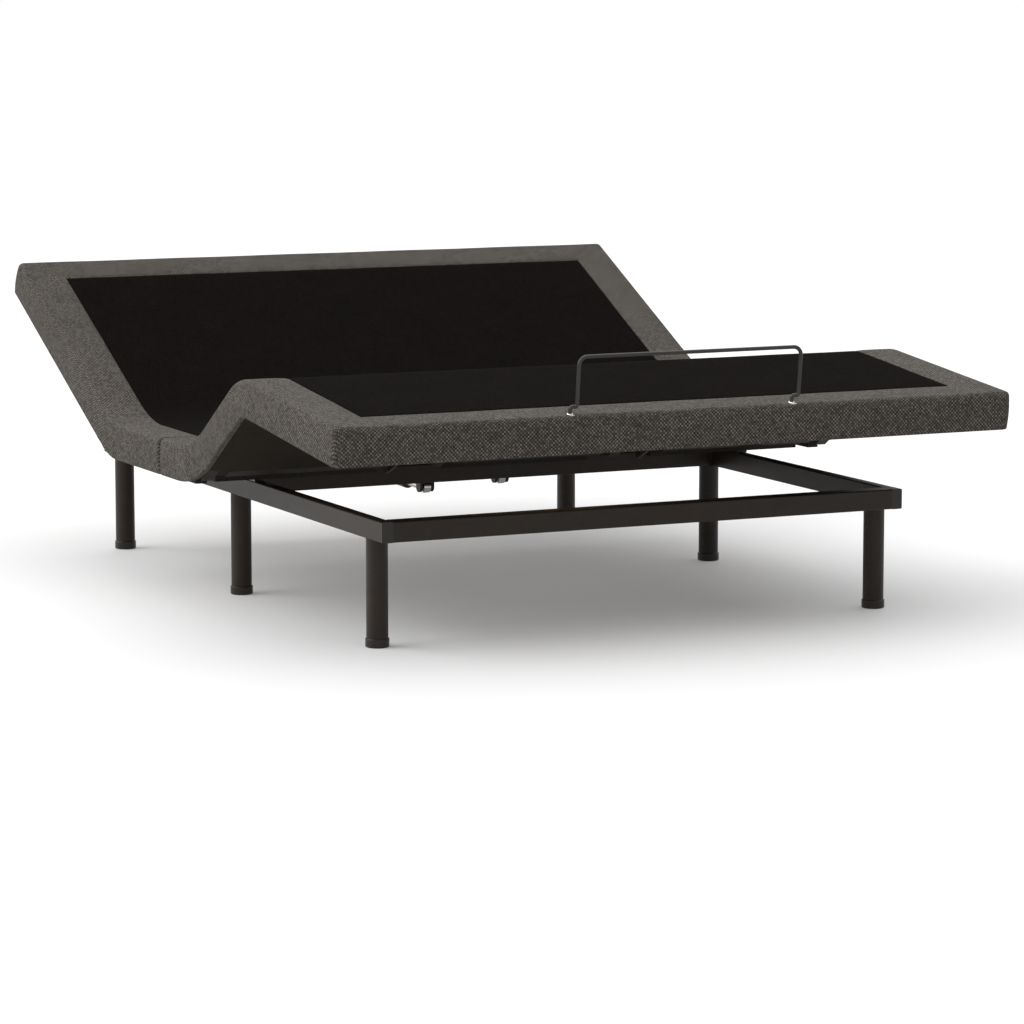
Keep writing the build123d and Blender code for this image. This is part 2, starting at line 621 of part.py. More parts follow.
# ---------------------------------------------------------------- write every node
def build_deck():
    knee, thigh, hip = KNEE_Y, THIGH_HINGE_Y, HEAD_HINGE_Y
    save("head_cover", as_head(cover(hip, HEAD_END_Y, "fold_up", "edge")))
    save("head_board", as_head(board(hip, HEAD_END_Y, "fold_up", "edge")))
    save("head_battens", [as_head(s) for s in battens(hip, HEAD_END_Y, "fold_up", "edge")])
    save("head_dust_cover", [as_head(s) for s in dust_cover(hip, HEAD_END_Y, "fold_up", "edge")])
    save("head_nonslip_panel", as_head(panel(hip, HEAD_END_Y, 12.0, PANEL_INSET_HEAD)))

    save("seat_rear_cover", cover(SEAT_SEAM_Y, hip, "seam", "fold_up"))
    save("seat_front_cover", cover(thigh, SEAT_SEAM_Y, "fold_up", "seam"))
    save("seat_board", board(thigh, hip, "fold_up", "fold_up"))
    save("seat_battens", battens(thigh, hip, "fold_up", "fold_up", SEAT_INNER_BOTTOM))
    save("seat_rear_nonslip_panel", panel(SEAT_SEAM_Y, hip, 0.5, 12.0))
    save("seat_front_nonslip_panel", panel(thigh, SEAT_SEAM_Y, 12.0, 0.5))

    save("thigh_cover", as_thigh(cover(knee, thigh, "fold_down", "fold_up")))
    save("thigh_board", as_thigh(board(knee, thigh, "fold_down", "fold_up")))
    save("thigh_battens", [as_thigh(s) for s in battens(knee, thigh, "fold_down", "fold_up")])
    save("thigh_dust_cover", [as_thigh(s) for s in dust_cover(knee, thigh, "fold_down", "fold_up")])
    save("thigh_nonslip_panel", as_thigh(panel(knee, thigh, 1.0, 12.0)))

    leg_cover = cover(FOOT_END_Y, knee, "edge", "fold_down")
    for seat in socket_seats():
        leg_cover -= seat
    save("leg_cover", as_leg(leg_cover))
    save("leg_board", as_leg(board(FOOT_END_Y, knee, "edge", "fold_down")))
    save("leg_battens", [as_leg(s) for s in battens(FOOT_END_Y, knee, "edge", "fold_down")])
    save("leg_dust_cover", [as_leg(s) for s in dust_cover(FOOT_END_Y, knee, "edge", "fold_down")])
    save("leg_nonslip_panel", as_leg(panel(FOOT_END_Y, knee, PANEL_INSET, 1.0)))


def build_hinges():
    upper, knee_z = UPPER_AXIS_Z, KNEE_AXIS_Z
    fixed_x = HINGE_SIDE_X
    moving_x = [x + HINGE_PLATE + 0.5 for x in HINGE_SIDE_X]
    save("seat_hinge_plates", hinge_plates(HEAD_HINGE_Y, upper, -1, fixed_x)
         + hinge_plates(THIGH_HINGE_Y, upper, 1, fixed_x))
    save("head_hinge_moving_plates",
         [as_head(s) for s in hinge_plates(HEAD_HINGE_Y, upper, 1, moving_x)])
    save("thigh_hinge_moving_plates",
         [as_thigh(s) for s in hinge_plates(THIGH_HINGE_Y, upper, -1, moving_x)])
    save("seat_hinge_pins", hinge_pins(HEAD_HINGE_Y, upper, HINGE_SIDE_X)
         + hinge_pins(THIGH_HINGE_Y, upper, HINGE_SIDE_X))
    save("knee_hinge_thigh_plates",
         [as_thigh(s) for s in hinge_plates(KNEE_Y, knee_z, 1, fixed_x)])
    save("knee_hinge_leg_plates",
         [as_leg(s) for s in hinge_plates(KNEE_Y, knee_z, -1, moving_x)])
    save("knee_hinge_pins", [as_thigh(s) for s in hinge_pins(KNEE_Y, knee_z, HINGE_SIDE_X)])


def build_frame():
    save("side_rail_left", side_rail(-1))
    save("side_rail_right", side_rail(1))
    save("foot_rail", cross_rail(FRAME_MID_Y - RAIL_END_Y))
    save("middle_rail", cross_rail(FRAME_MID_Y - CROSS_RAIL_DEPTH / 2))
    save("head_rail", head_rail())
    save("rail_end_caps", rail_end_caps())
    save("actuator_anchor_tube", anchor_tube())
    names = ("foot", "middle", "head")
    for name, y in zip(names, leg_rows()):
        save(name + "_end_legs" if name != "middle" else "middle_legs", [leg(-1, y), leg(1, y)])
    save("foot_caps", [foot_cap(side, y) for y in leg_rows() for side in (-1, 1)])
    save("leg_studs", leg_studs())
    save("seat_spacers", seat_spacers())


def build_lifts():
    save("head_lift_tube", lift_tube(HEAD_PIVOT, head_arm_line(), HEAD_ACTUATOR_X,
                                     HEAD_LEVER, HEAD_LEVER_ANGLE))
    save("head_lift_rollers", rollers(head_roller_point(), HEAD_ROLLER_R))
    save("foot_lift_tube", lift_tube(FOOT_PIVOT, foot_arm_line(), FOOT_ACTUATOR_X,
                                     FOOT_LEVER, FOOT_LEVER_ANGLE))
    save("foot_lift_rollers", rollers(foot_roller_point(), FOOT_ROLLER_R))
    save("lift_tube_brackets", lift_tube_brackets())
    save("leg_links", leg_links())
    save("seat_link_brackets", seat_link_brackets())
    save("leg_link_brackets", leg_link_brackets())
    head_tip = at_angle(HEAD_PIVOT, HEAD_LEVER, HEAD_LEVER_ANGLE)
    foot_tip = at_angle(FOOT_PIVOT, FOOT_LEVER, FOOT_LEVER_ANGLE)
    save("head_actuator_casing", actuator_body(HEAD_ACTUATOR_X, head_tip))
    save("head_actuator_rod", actuator_rod(HEAD_ACTUATOR_X, head_tip, HEAD_EYE_SHIFT))
    save("foot_actuator_casing", actuator_body(FOOT_ACTUATOR_X, foot_tip))
    save("foot_actuator_rod", actuator_rod(FOOT_ACTUATOR_X, foot_tip))
    save("actuator_pins", [actuator_pin(HEAD_ACTUATOR_X), actuator_pin(FOOT_ACTUATOR_X)])


def build_extras():
    save("control_box", control_box())
    save("power_supply", power_supply())
    save("electrics_strap", control_strap())
    save("retainer_bar", as_leg(retainer_bar()))
    save("retainer_sockets", [as_leg(s) for s in retainer_sockets()])


def main():
    os.makedirs("parts", exist_ok=True)
    build_deck()
    build_hinges()
    build_frame()
    build_lifts()
    build_extras()


main()
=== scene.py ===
# %% [markdown]
# # An adjustable bed base
# The base has a steel frame on six legs and a padded deck in sections that fold. The packed
# model holds every hard part at its true place. This lesson dresses it: the upholstery is built
# flat, as it is cut and sewn, and is then folded over the hinges, and each surface gets a
# finish made from nodes.

# %% Load the frame
import json
import math

import bmesh
import bpy
import numpy as np
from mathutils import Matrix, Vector


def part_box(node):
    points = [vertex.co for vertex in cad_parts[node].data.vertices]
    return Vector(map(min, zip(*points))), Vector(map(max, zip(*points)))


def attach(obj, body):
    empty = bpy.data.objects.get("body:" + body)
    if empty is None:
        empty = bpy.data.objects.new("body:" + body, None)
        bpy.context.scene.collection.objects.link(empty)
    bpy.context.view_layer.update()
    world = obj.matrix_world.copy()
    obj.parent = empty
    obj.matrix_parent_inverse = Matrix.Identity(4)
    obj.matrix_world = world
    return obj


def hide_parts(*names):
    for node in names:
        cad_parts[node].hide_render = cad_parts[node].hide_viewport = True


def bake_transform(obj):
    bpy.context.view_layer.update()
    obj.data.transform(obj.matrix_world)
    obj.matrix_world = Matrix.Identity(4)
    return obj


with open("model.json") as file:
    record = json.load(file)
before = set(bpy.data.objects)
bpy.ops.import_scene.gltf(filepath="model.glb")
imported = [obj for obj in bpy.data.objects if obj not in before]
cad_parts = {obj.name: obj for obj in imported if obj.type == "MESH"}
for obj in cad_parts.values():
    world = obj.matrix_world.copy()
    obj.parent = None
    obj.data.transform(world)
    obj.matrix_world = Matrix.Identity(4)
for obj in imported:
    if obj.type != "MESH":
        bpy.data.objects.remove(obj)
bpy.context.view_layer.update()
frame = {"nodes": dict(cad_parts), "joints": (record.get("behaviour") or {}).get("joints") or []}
scene = bpy.context.scene

# %% [markdown]
# ## Measure the deck
# The joints say where each section turns and how far it is raised, and the boxes of the plain
# parts say how wide, thick and long the deck is. So the soft pieces always land on the boards
# that they cover.

# %% Hinges, angles and the flat lengths
JOINTS = {joint["name"]: joint for joint in frame["joints"]}


def hinge(name):
    """The hinge's place in the side view, as (y, z)."""
    return np.array(JOINTS[name]["pos_m"][1:])


HEAD_AXIS = hinge("head_raise")
THIGH_AXIS = hinge("thigh_raise")
KNEE_AXIS = hinge("knee_bend")
HEAD_TILT = math.radians(-JOINTS["head_raise"]["range_deg"][0])
THIGH_TILT = math.radians(-JOINTS["thigh_raise"]["range_deg"][0])
BAR_WAY = JOINTS["bar_lift_out"]["axis"]
LEG_SLOPE = math.atan2(-BAR_WAY[1], BAR_WAY[2])
KNEE_TILT = THIGH_TILT + LEG_SLOPE

FIT = 0.0005  # gap between neighbouring parts
seat_low, seat_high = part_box("seat_rear_cover")
TOP, BOTTOM, HALF = seat_high.z, seat_low.z, seat_high.x
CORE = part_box("seat_battens")[1].x + FIT  # inner face of the padded walls
CAVITY_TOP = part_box("seat_board")[1].z
SEAM_Y = seat_low.y - FIT
PANEL_TURN = 0.0065  # edge of the black cloth that is turned under
PANEL_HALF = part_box("head_nonslip_panel")[1].x - PANEL_TURN
KNEE_DEPTH = 0.062  # knee pins below the deck's top
knee_flat_z = TOP - KNEE_DEPTH
reach = np.linalg.norm(KNEE_AXIS - THIGH_AXIS)
KNEE_Y = THIGH_AXIS[0] - math.sqrt(reach ** 2 - (THIGH_AXIS[1] - knee_flat_z) ** 2)
WALL = HALF - CORE
LOWER = HEAD_AXIS[1] - BOTTOM
HEAD_END = HEAD_AXIS[0] + (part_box("head_cover")[1].y - HEAD_AXIS[0]
                           - LOWER * math.sin(HEAD_TILT)) / math.cos(HEAD_TILT)
BOARD_SHORT = WALL + 0.0002  # boards stop this far inside the cover
leg_reach = KNEE_AXIS[0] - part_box("leg_board")[0].y
FOOT_END = KNEE_Y - BOARD_SHORT - (leg_reach - (CAVITY_TOP - knee_flat_z)
                                   * math.sin(LEG_SLOPE)) / math.cos(LEG_SLOPE)
THIGH_MIDDLE = (KNEE_Y + THIGH_AXIS[0]) / 2
print("flat deck from", round(FOOT_END, 4), "to", round(HEAD_END, 4), "knee at", round(KNEE_Y, 4))
print("deck thickness", round(TOP - BOTTOM, 4), "wall", round(WALL, 4))

# %% [markdown]
# ## Fold flat cloth over the hinges
# Upholstery is easiest to draw flat. One function then carries every flat point to its stored
# place: straight parts turn with their section, and a stretch at each hinge goes round an arc.
# The foam keeps every arc wide, so the deck swings gently from one section to the next. The
# crest at the knee is the tightest, because the cloth is stretched over it.

# %% The folding function
FOLDS = {  # flat place, height, way, tilt, low and high radius
    "head": (HEAD_AXIS[0], HEAD_AXIS[1], 1, HEAD_TILT, 0.140, 0.340),
    "seat": (THIGH_AXIS[0], THIGH_AXIS[1], -1, THIGH_TILT, 0.280, 0.320),
    "knee": (KNEE_Y, knee_flat_z, -1, -KNEE_TILT, 0.080, 0.115),
}


STEP = 0.018  # between stations on the straight parts
FOLD_STATIONS = 19
FOLD_MARGIN = 1.08  # the close stations reach a little past the arc
CLOSEST = 0.0009  # an even station this near a set one is dropped


def fold_half(name):
    """Half of the longest flat length that a fold takes up."""
    tilt, low, high = FOLDS[name][3:]
    return max(low, high) * math.tan(abs(tilt) / 2)


def fold(points, name):
    """Bend an (n, 3) array of points at one hinge."""
    place, height, way, tilt, low, high = FOLDS[name]
    sign = math.copysign(1, tilt)
    along = (points[:, 1] - place) * way
    up = points[:, 2] - height
    radius = np.interp(points[:, 2], (BOTTOM, TOP), (low, high))
    half = radius * math.tan(abs(tilt) / 2)
    angle = np.clip((along + half) / (2 * half), 0, 1) * abs(tilt)
    arm = radius - sign * up
    arc_along = -half + arm * np.sin(angle)
    arc_up = sign * (radius - arm * np.cos(angle))
    far = along > half
    new_along = np.where(far, along * math.cos(tilt) - up * math.sin(tilt), arc_along)
    new_up = np.where(far, along * math.sin(tilt) + up * math.cos(tilt), arc_up)
    new_along = np.where(along < -half, along, new_along)
    new_up = np.where(along < -half, up, new_up)
    return np.column_stack([points[:, 0], place + way * new_along, height + new_up])


def folded(points):
    """Carry flat points to the stored pose."""
    points = np.asarray(points, float).reshape(-1, 3)
    for name in ("knee", "seat", "head"):
        points = fold(points, name)
    return points


def stations(low, high, step, extra=()):
    """Places along the flat deck: even steps, closer ones in each fold, and the extra ones."""
    places = list(np.linspace(low, high, max(2, round((high - low) / step) + 1)))
    for name, (place, *_) in FOLDS.items():
        span = fold_half(name) * FOLD_MARGIN
        if low < place < high:
            places = [y for y in places if abs(y - place) > span]
            places += list(np.linspace(place - span, place + span, FOLD_STATIONS))
    inner = [y for y in places if low < y < high and all(abs(y - e) > CLOSEST for e in extra)]
    return np.array(sorted([low, high] + inner + [e for e in extra if low < e < high]))


# %% [markdown]
# ## Small tools for meshes
# Two builders make every soft piece. `skin` joins a row of closed rings into a tube, which suits
# the padded covers. `slab` makes a thin closed sheet from a grid with a height above and below,
# which suits the cloths. Both store a map in metres of cloth, so that weaves keep their size.

# %% New objects and finished meshes
def new_object(name, data):
    """Link a new object with this data into the scene."""
    thing = bpy.data.objects.new(name, data)
    scene.collection.objects.link(thing)
    return thing


MERGE = 0.00002  # points closer than this become one


def finish_mesh(name, points, faces, cloth, material, smooth_angle=40):
    """Make the object, with its cloth map, from folded points."""
    mesh = bpy.data.meshes.new(name)
    mesh.from_pydata([tuple(p) for p in points], [], faces)
    layer = mesh.uv_layers.new(name="cloth")
    for polygon, spots in zip(mesh.polygons, cloth):
        for loop, spot in zip(polygon.loop_indices, spots):
            layer.data[loop].uv = spot
    work = bmesh.new()
    work.from_mesh(mesh)
    bmesh.ops.remove_doubles(work, verts=work.verts, dist=MERGE)
    bmesh.ops.recalc_face_normals(work, faces=work.faces)
    work.to_mesh(mesh)
    work.free()
    mesh.shade_smooth()
    mesh.set_sharp_from_angle(angle=math.radians(smooth_angle))
    mesh.materials.append(material)
    print(name, len(mesh.polygons), "faces")
    return new_object(name, mesh)


# %% Skin and slab
def skin(name, rings, maps, material):
    """Join closed rings of flat points; maps holds the cloth coordinates of each ring."""
    count = len(rings[0])
    points = folded(np.concatenate(rings))
    faces, cloth = [], []
    for i in range(len(rings) - 1):
        near, far = maps[i]
        for j in range(count):
            k = (j + 1) % count
            faces.append((i * count + j, i * count + k, (i + 1) * count + k, (i + 1) * count + j))
            cloth.append((near[j], near[k], far[k], far[j]))
    last = (len(rings) - 1) * count
    for start, turn, spots in ((0, -1, maps[0][0]), (last, 1, maps[-1][1])):
        faces.append(tuple(start + j for j in range(count))[::turn])
        cloth.append(list(spots)[::turn])
    return finish_mesh(name, points, faces, cloth, material)


def slab(name, xs, ys, top, bottom, material):
    """A thin closed sheet over the grid xs by ys, between two height functions."""
    gx, gy = (g.ravel() for g in np.meshgrid(xs, ys))
    upper = np.column_stack([gx, gy, top(gx, gy)])
    lower = np.column_stack([gx, gy, bottom(gx, gy)])
    points = folded(np.concatenate([upper, lower]))
    wide, under = len(xs), len(gx)
    spots = list(zip(gx, gy)) * 2
    faces = []
    for r in range(len(ys) - 1):
        for c in range(wide - 1):
            a = r * wide + c
            faces.append((a, a + 1, a + wide + 1, a + wide))
            faces.append(tuple(under + v for v in (a, a + wide, a + wide + 1, a + 1)))
    rim = list(range(wide))
    rim += [r * wide + wide - 1 for r in range(1, len(ys))]
    rim += [(len(ys) - 1) * wide + c for c in range(wide - 2, -1, -1)]
    rim += [r * wide for r in range(len(ys) - 2, 0, -1)]
    for a, b in zip(rim, rim[1:] + rim[:1]):
        faces.append((b, a, a + under, b + under))
    cloth = [[spots[v] for v in face] for face in faces]
    return finish_mesh(name, points, faces, cloth, material)


# %% [markdown]
# ## Shared effects for the finishes
# Weave, mottling and scuffs appear on several finishes, so each is a node group that puts out
# only values. The shader itself stays in each material, with its constants on its own sockets.

# %% Helpers for node trees
def add(tree, kind, inputs=None, **settings):
    """A new node with its settings; inputs gives a number or a socket for each input."""
    node = tree.nodes.new(kind)
    for key, value in settings.items():
        setattr(node, key, value)
    for label, value in (inputs or {}).items():
        if isinstance(value, bpy.types.NodeSocket):
            tree.links.new(value, node.inputs[label])
        else:
            node.inputs[label].default_value = value
    return node


def maths(tree, operation, a, b=None):
    """A Math node on sockets or numbers; returns its output."""
    inputs = {0: a} if b is None else {0: a, 1: b}
    return add(tree, "ShaderNodeMath", inputs, operation=operation).outputs[0]


def new_group(name, inputs, outputs):
    """A shader node group with named sockets; returns the tree and its two end nodes."""
    tree = bpy.data.node_groups.new(name, "ShaderNodeTree")
    for label, kind, value in inputs:
        socket = tree.interface.new_socket(name=label, in_out="INPUT", socket_type=kind)
        if value is not None:
            socket.default_value = value
    for label, kind in outputs:
        tree.interface.new_socket(name=label, in_out="OUTPUT", socket_type=kind)
    return tree, add(tree, "NodeGroupInput"), add(tree, "NodeGroupOutput")


def use_group(tree, group, vector, **values):
    """Place a group in a material, with its vector wired and its numbers set."""
    node = add(tree, "ShaderNodeGroup", node_tree=group)
    tree.links.new(vector, node.inputs["Vector"])
    for label, value in values.items():
        node.inputs[label].default_value = value
    return node


def noise(tree, vector, scale, detail=3.0, rough=0.55):
    """A noise texture's value, on a wired vector."""
    inputs = {"Vector": vector, "Scale": scale, "Detail": detail, "Roughness": rough}
    return add(tree, "ShaderNodeTexNoise", inputs).outputs["Fac"]


def ramp(tree, value, stops):
    """A colour ramp from (position, colour) stops; a colour may be one grey value."""
    node = add(tree, "ShaderNodeValToRGB", {"Fac": value})
    elements = node.color_ramp.elements
    while len(elements) < len(stops):
        elements.new(0.5)
    for element, (position, colour) in zip(elements, stops):
        element.position = position
        shade = (colour,) * 3 if isinstance(colour, (int, float)) else tuple(colour)
        element.color = (*shade, 1.0)
    return node.outputs["Color"]


def mix(tree, factor, first, second, how="MIX"):
    """Mix two colours, given as sockets or tuples."""
    node = add(tree, "ShaderNodeMix", data_type="RGBA", blend_type=how)
    for label, value in (("Factor", factor), ("A", first), ("B", second)):
        socket = [s for s in node.inputs if s.name == label and s.enabled][0]
        if isinstance(value, (int, float)):
            socket.default_value = value
        elif isinstance(value, tuple):
            socket.default_value = (*value, 1.0)
        else:
            tree.links.new(value, socket)
    return [s for s in node.outputs if s.enabled][0]


# %% Weave, mottling and scuffs
def in_units(tree, given, size):
    """The given vector, counted in units of the group's input of that name."""
    inputs = {0: given.outputs["Vector"], "Scale": maths(tree, "DIVIDE", 1.0, given.outputs[size])}
    return add(tree, "ShaderNodeVectorMath", inputs, operation="SCALE").outputs[0]


def stretched(tree, vector, scale):
    """A vector scaled by its own amount on each axis."""
    return add(tree, "ShaderNodeMapping", {"Vector": vector, "Scale": scale}).outputs[0]


def weave_group():
    """Plain weave: round threads that pass over and under, with a height and a thread mask."""
    tree, given, out = new_group(
        "weave",
        [("Vector", "NodeSocketVector", None), ("Period", "NodeSocketFloat", 0.004)],
        [("Height", "NodeSocketFloat"), ("Warp", "NodeSocketFloat"), ("Yarn", "NodeSocketFloat")])
    parts = add(tree, "ShaderNodeSeparateXYZ", {0: in_units(tree, given, "Period")})
    x, y = parts.outputs[:2]
    cell_x, cell_y = maths(tree, "FLOOR", x), maths(tree, "FLOOR", y)
    over = maths(tree, "PINGPONG", maths(tree, "ADD", cell_x, cell_y), 1.0)
    rounds = []
    for part in (x, y):
        off = maths(tree, "SUBTRACT", maths(tree, "FRACT", part), 0.5)
        fall = maths(tree, "MULTIPLY", maths(tree, "MULTIPLY", off, off), 4.0)
        rounds.append(maths(tree, "SUBTRACT", 1.0, fall))
    heights = []
    for main, other in ((0, 1), (1, 0)):
        bow = maths(tree, "ADD", maths(tree, "MULTIPLY", rounds[other], 0.45), 0.55)
        heights.append(maths(tree, "MULTIPLY", rounds[main], bow))
    warp = maths(tree, "MULTIPLY", heights[0], over)
    weft = maths(tree, "MULTIPLY", heights[1], maths(tree, "SUBTRACT", 1.0, over))
    cell = add(tree, "ShaderNodeCombineXYZ", {0: cell_x, 1: cell_y}).outputs[0]
    random = add(tree, "ShaderNodeTexWhiteNoise", noise_dimensions="2D")
    tree.links.new(cell, random.inputs["Vector"])
    tree.links.new(maths(tree, "ADD", warp, weft), out.inputs["Height"])
    tree.links.new(over, out.inputs["Warp"])
    tree.links.new(random.outputs["Value"], out.inputs["Yarn"])
    return tree


def mottle_group():
    """Slow changes of shade at two sizes, as in dyed cloth, paint or wood."""
    tree, given, out = new_group(
        "mottle",
        [("Vector", "NodeSocketVector", None), ("Size", "NodeSocketFloat", 0.1),
         ("Amount", "NodeSocketFloat", 0.2)],
        [("Shade", "NodeSocketFloat")])
    scaled = in_units(tree, given, "Size")
    broad = noise(tree, scaled, scale=1.0, detail=2.0)
    fine = noise(tree, scaled, scale=7.0, detail=3.0)
    both = maths(tree, "ADD", maths(tree, "MULTIPLY", broad, 0.65),
                 maths(tree, "MULTIPLY", fine, 0.35))
    swing = maths(tree, "MULTIPLY", maths(tree, "SUBTRACT", both, 0.5), given.outputs["Amount"])
    shade = maths(tree, "ADD", maths(tree, "MULTIPLY", swing, 2.0), 1.0)
    tree.links.new(shade, out.inputs["Shade"])
    return tree


def scuff_group():
    """A mask of thin scratches and small rubbed spots."""
    tree, given, out = new_group(
        "scuffs",
        [("Vector", "NodeSocketVector", None), ("Amount", "NodeSocketFloat", 0.3)],
        [("Mask", "NodeSocketFloat")])
    drawn = stretched(tree, given.outputs["Vector"], (14.0, 3.0, 60.0))
    line = noise(tree, drawn, scale=3.0, detail=4.0, rough=0.7)
    spot = noise(tree, given.outputs["Vector"], scale=22.0, detail=5.0, rough=0.65)
    both = maths(tree, "MULTIPLY", maths(tree, "POWER", line, 3.0), maths(tree, "POWER", spot, 2.0))
    scaled = maths(tree, "MULTIPLY", both, maths(tree, "MULTIPLY", given.outputs["Amount"], 9.0))
    tree.links.new(maths(tree, "MINIMUM", scaled, 1.0), out.inputs["Mask"])
    return tree


WEAVE, MOTTLE, SCUFFS = weave_group(), mottle_group(), scuff_group()
print("shared effects", [group.name for group in (WEAVE, MOTTLE, SCUFFS)])


# %% [markdown]
# ## The finishes
# Every finish starts from one helper that makes a Principled shader with its constants. The
# cloths read their own map; the hard parts read Object coordinates, which are metres here.

# %% A blank finish
def finish_base(name, roughness, coordinates="Object", **constants):
    """A new material; returns it with its tree, shader and coordinate socket."""
    material = bpy.data.materials.new(name)
    material.use_nodes = True
    tree = material.node_tree
    tree.nodes.clear()
    inputs = {label.replace("_", " "): value for label, value in constants.items()}
    shader = add(tree, "ShaderNodeBsdfPrincipled", {"Roughness": roughness, **inputs})
    add(tree, "ShaderNodeOutputMaterial", {"Surface": shader.outputs[0]})
    if coordinates == "Object":
        socket = add(tree, "ShaderNodeTexCoord").outputs["Object"]
    else:
        socket = add(tree, "ShaderNodeUVMap", uv_map=coordinates).outputs["UV"]
    return material, tree, shader, socket


def bump(tree, shader, height, strength, distance):
    """Wire a height into the shader's normal; distance is in metres."""
    inputs = {"Strength": strength, "Distance": distance, "Height": height}
    tree.links.new(add(tree, "ShaderNodeBump", inputs).outputs["Normal"], shader.inputs["Normal"])


def mottled(tree, shader, colour, vector, size, amount):
    """Wire a colour, multiplied by a mottled grey, into the shader; returns the grey."""
    shade = use_group(tree, MOTTLE, vector, Size=size, Amount=amount).outputs["Shade"]
    grey = add(tree, "ShaderNodeCombineColor", {0: shade, 1: shade, 2: shade})
    uneven = mix(tree, 1.0, colour, grey.outputs[0], "MULTIPLY")
    tree.links.new(uneven, shader.inputs["Base Color"])
    return shade


# %% Cloths
def woven(name, period, light, dark, mottling, relief, roughness=0.9, gloss=0.10):
    """Two yarns in a plain weave, each cell a little lighter or darker than the next."""
    material, tree, shader, cloth = finish_base(
        name, roughness, "cloth", Sheen_Weight=gloss * 0.2, Sheen_Roughness=0.6,
        Specular_IOR_Level=gloss)
    weave = use_group(tree, WEAVE, cloth, Period=period)
    yarns = mix(tree, weave.outputs["Warp"], dark, light)
    speckle = ramp(tree, weave.outputs["Yarn"], [(0.0, 0.55), (0.5, 1.0), (1.0, 1.45)])
    flecked = mix(tree, 1.0, yarns, speckle, "MULTIPLY")
    # Painted shade and highlight: the low parts of the weave are darkened and the crowns of the
    # threads are lightened a little.
    painted_weave_shade = ramp(tree, weave.outputs["Height"], [(0.0, 0.35), (0.45, 1.0), (1.0, 1.12)])
    weave_with_painted_shade = mix(tree, 1.0, flecked, painted_weave_shade, "MULTIPLY")
    mottled(tree, shader, weave_with_painted_shade, cloth, 0.09, mottling)
    fuzz = noise(tree, cloth, scale=2.2 / period, detail=2.0)
    height = maths(tree, "ADD", weave.outputs["Height"], maths(tree, "MULTIPLY", fuzz, 0.5))
    bump(tree, shader, height, strength=0.8, distance=relief)
    return material


def felted(name, colour):
    """Pressed fibre cloth with a dimpled surface and no weave."""
    material, tree, shader, cloth = finish_base(name, 0.95, "cloth", Specular_IOR_Level=0.05)
    mottled(tree, shader, colour, cloth, 0.05, 0.35)
    dimples = add(tree, "ShaderNodeTexVoronoi", {"Vector": cloth, "Scale": 380.0})
    fibres = noise(tree, cloth, scale=900.0, detail=3.0)
    height = maths(tree, "ADD", dimples.outputs["Distance"], fibres)
    bump(tree, shader, height, strength=0.5, distance=0.0005)
    return material


TWEED = woven("tweed_cloth", period=0.0040, light=(0.104, 0.0935, 0.0815),
              dark=(0.033, 0.0295, 0.0250), mottling=0.22, relief=0.0009)
NONSLIP = woven("nonslip_black", period=0.0024, light=(0.0066, 0.0053, 0.0046),
                dark=(0.0034, 0.0027, 0.0023), mottling=0.30, relief=0.0004,
                roughness=0.85, gloss=0.008)
DUST = felted("dust_black", (0.022, 0.018, 0.0145))


# %% Hard finishes
def painted(name, colour, roughness, grain=0.00012, wear=0.25):
    """Powder coat: faint orange peel, slow change of gloss, and rubbed spots."""
    material, tree, shader, place = finish_base(name, roughness, Specular_IOR_Level=0.24)
    scuff = use_group(tree, SCUFFS, place, Amount=wear).outputs["Mask"]
    lighter = tuple(min(1.0, c * 2.4 + 0.01) for c in colour)
    worn = mix(tree, scuff, colour, lighter)
    shade = mottled(tree, shader, worn, place, 0.22, 0.18)
    gloss = maths(tree, "ADD", maths(tree, "MULTIPLY", scuff, 0.25),
                  maths(tree, "MULTIPLY", shade, roughness))
    tree.links.new(gloss, shader.inputs["Roughness"])
    bump(tree, shader, noise(tree, place, scale=620.0, detail=2.0), strength=0.35, distance=grain)
    return material


def plated(name, colour, roughness, brushed):
    """Bright metal with fine drawn lines along one axis."""
    material, tree, shader, place = finish_base(name, roughness, Metallic=1.0)
    streak = noise(tree, stretched(tree, place, brushed), scale=1.0, detail=3.0, rough=0.6)
    mottled(tree, shader, colour, place, 0.03, 0.3)
    gloss = maths(tree, "ADD", maths(tree, "MULTIPLY", streak, 0.3), roughness - 0.12)
    tree.links.new(gloss, shader.inputs["Roughness"])
    bump(tree, shader, streak, strength=0.25, distance=0.00005)
    return material


def moulded(name, colour, roughness, relief=0.00008):
    """Moulded plastic with a fine spark-eroded grain."""
    material, tree, shader, place = finish_base(name, roughness, Specular_IOR_Level=0.32)
    shade = mottled(tree, shader, colour, place, 0.05, 0.2)
    tree.links.new(maths(tree, "MULTIPLY", shade, roughness), shader.inputs["Roughness"])
    bump(tree, shader, noise(tree, place, scale=900.0, detail=2.0), strength=0.3, distance=relief)
    return material


def wooden(name, pale, dark, stretch, relief):
    """Grain drawn out along one axis, with darker late wood and open pores."""
    material, tree, shader, place = finish_base(name, 0.62, Specular_IOR_Level=0.2)
    growth = noise(tree, stretched(tree, place, stretch), scale=1.0, detail=6.0, rough=0.62)
    colour = ramp(tree, growth, [(0.32, dark), (0.48, pale), (0.60, dark), (0.72, pale)])
    mottled(tree, shader, colour, place, 0.3, 0.2)
    gloss = ramp(tree, growth, [(0.3, 0.72), (0.7, 0.52)])
    tree.links.new(gloss, shader.inputs["Roughness"])
    bump(tree, shader, growth, strength=0.3, distance=relief)
    return material


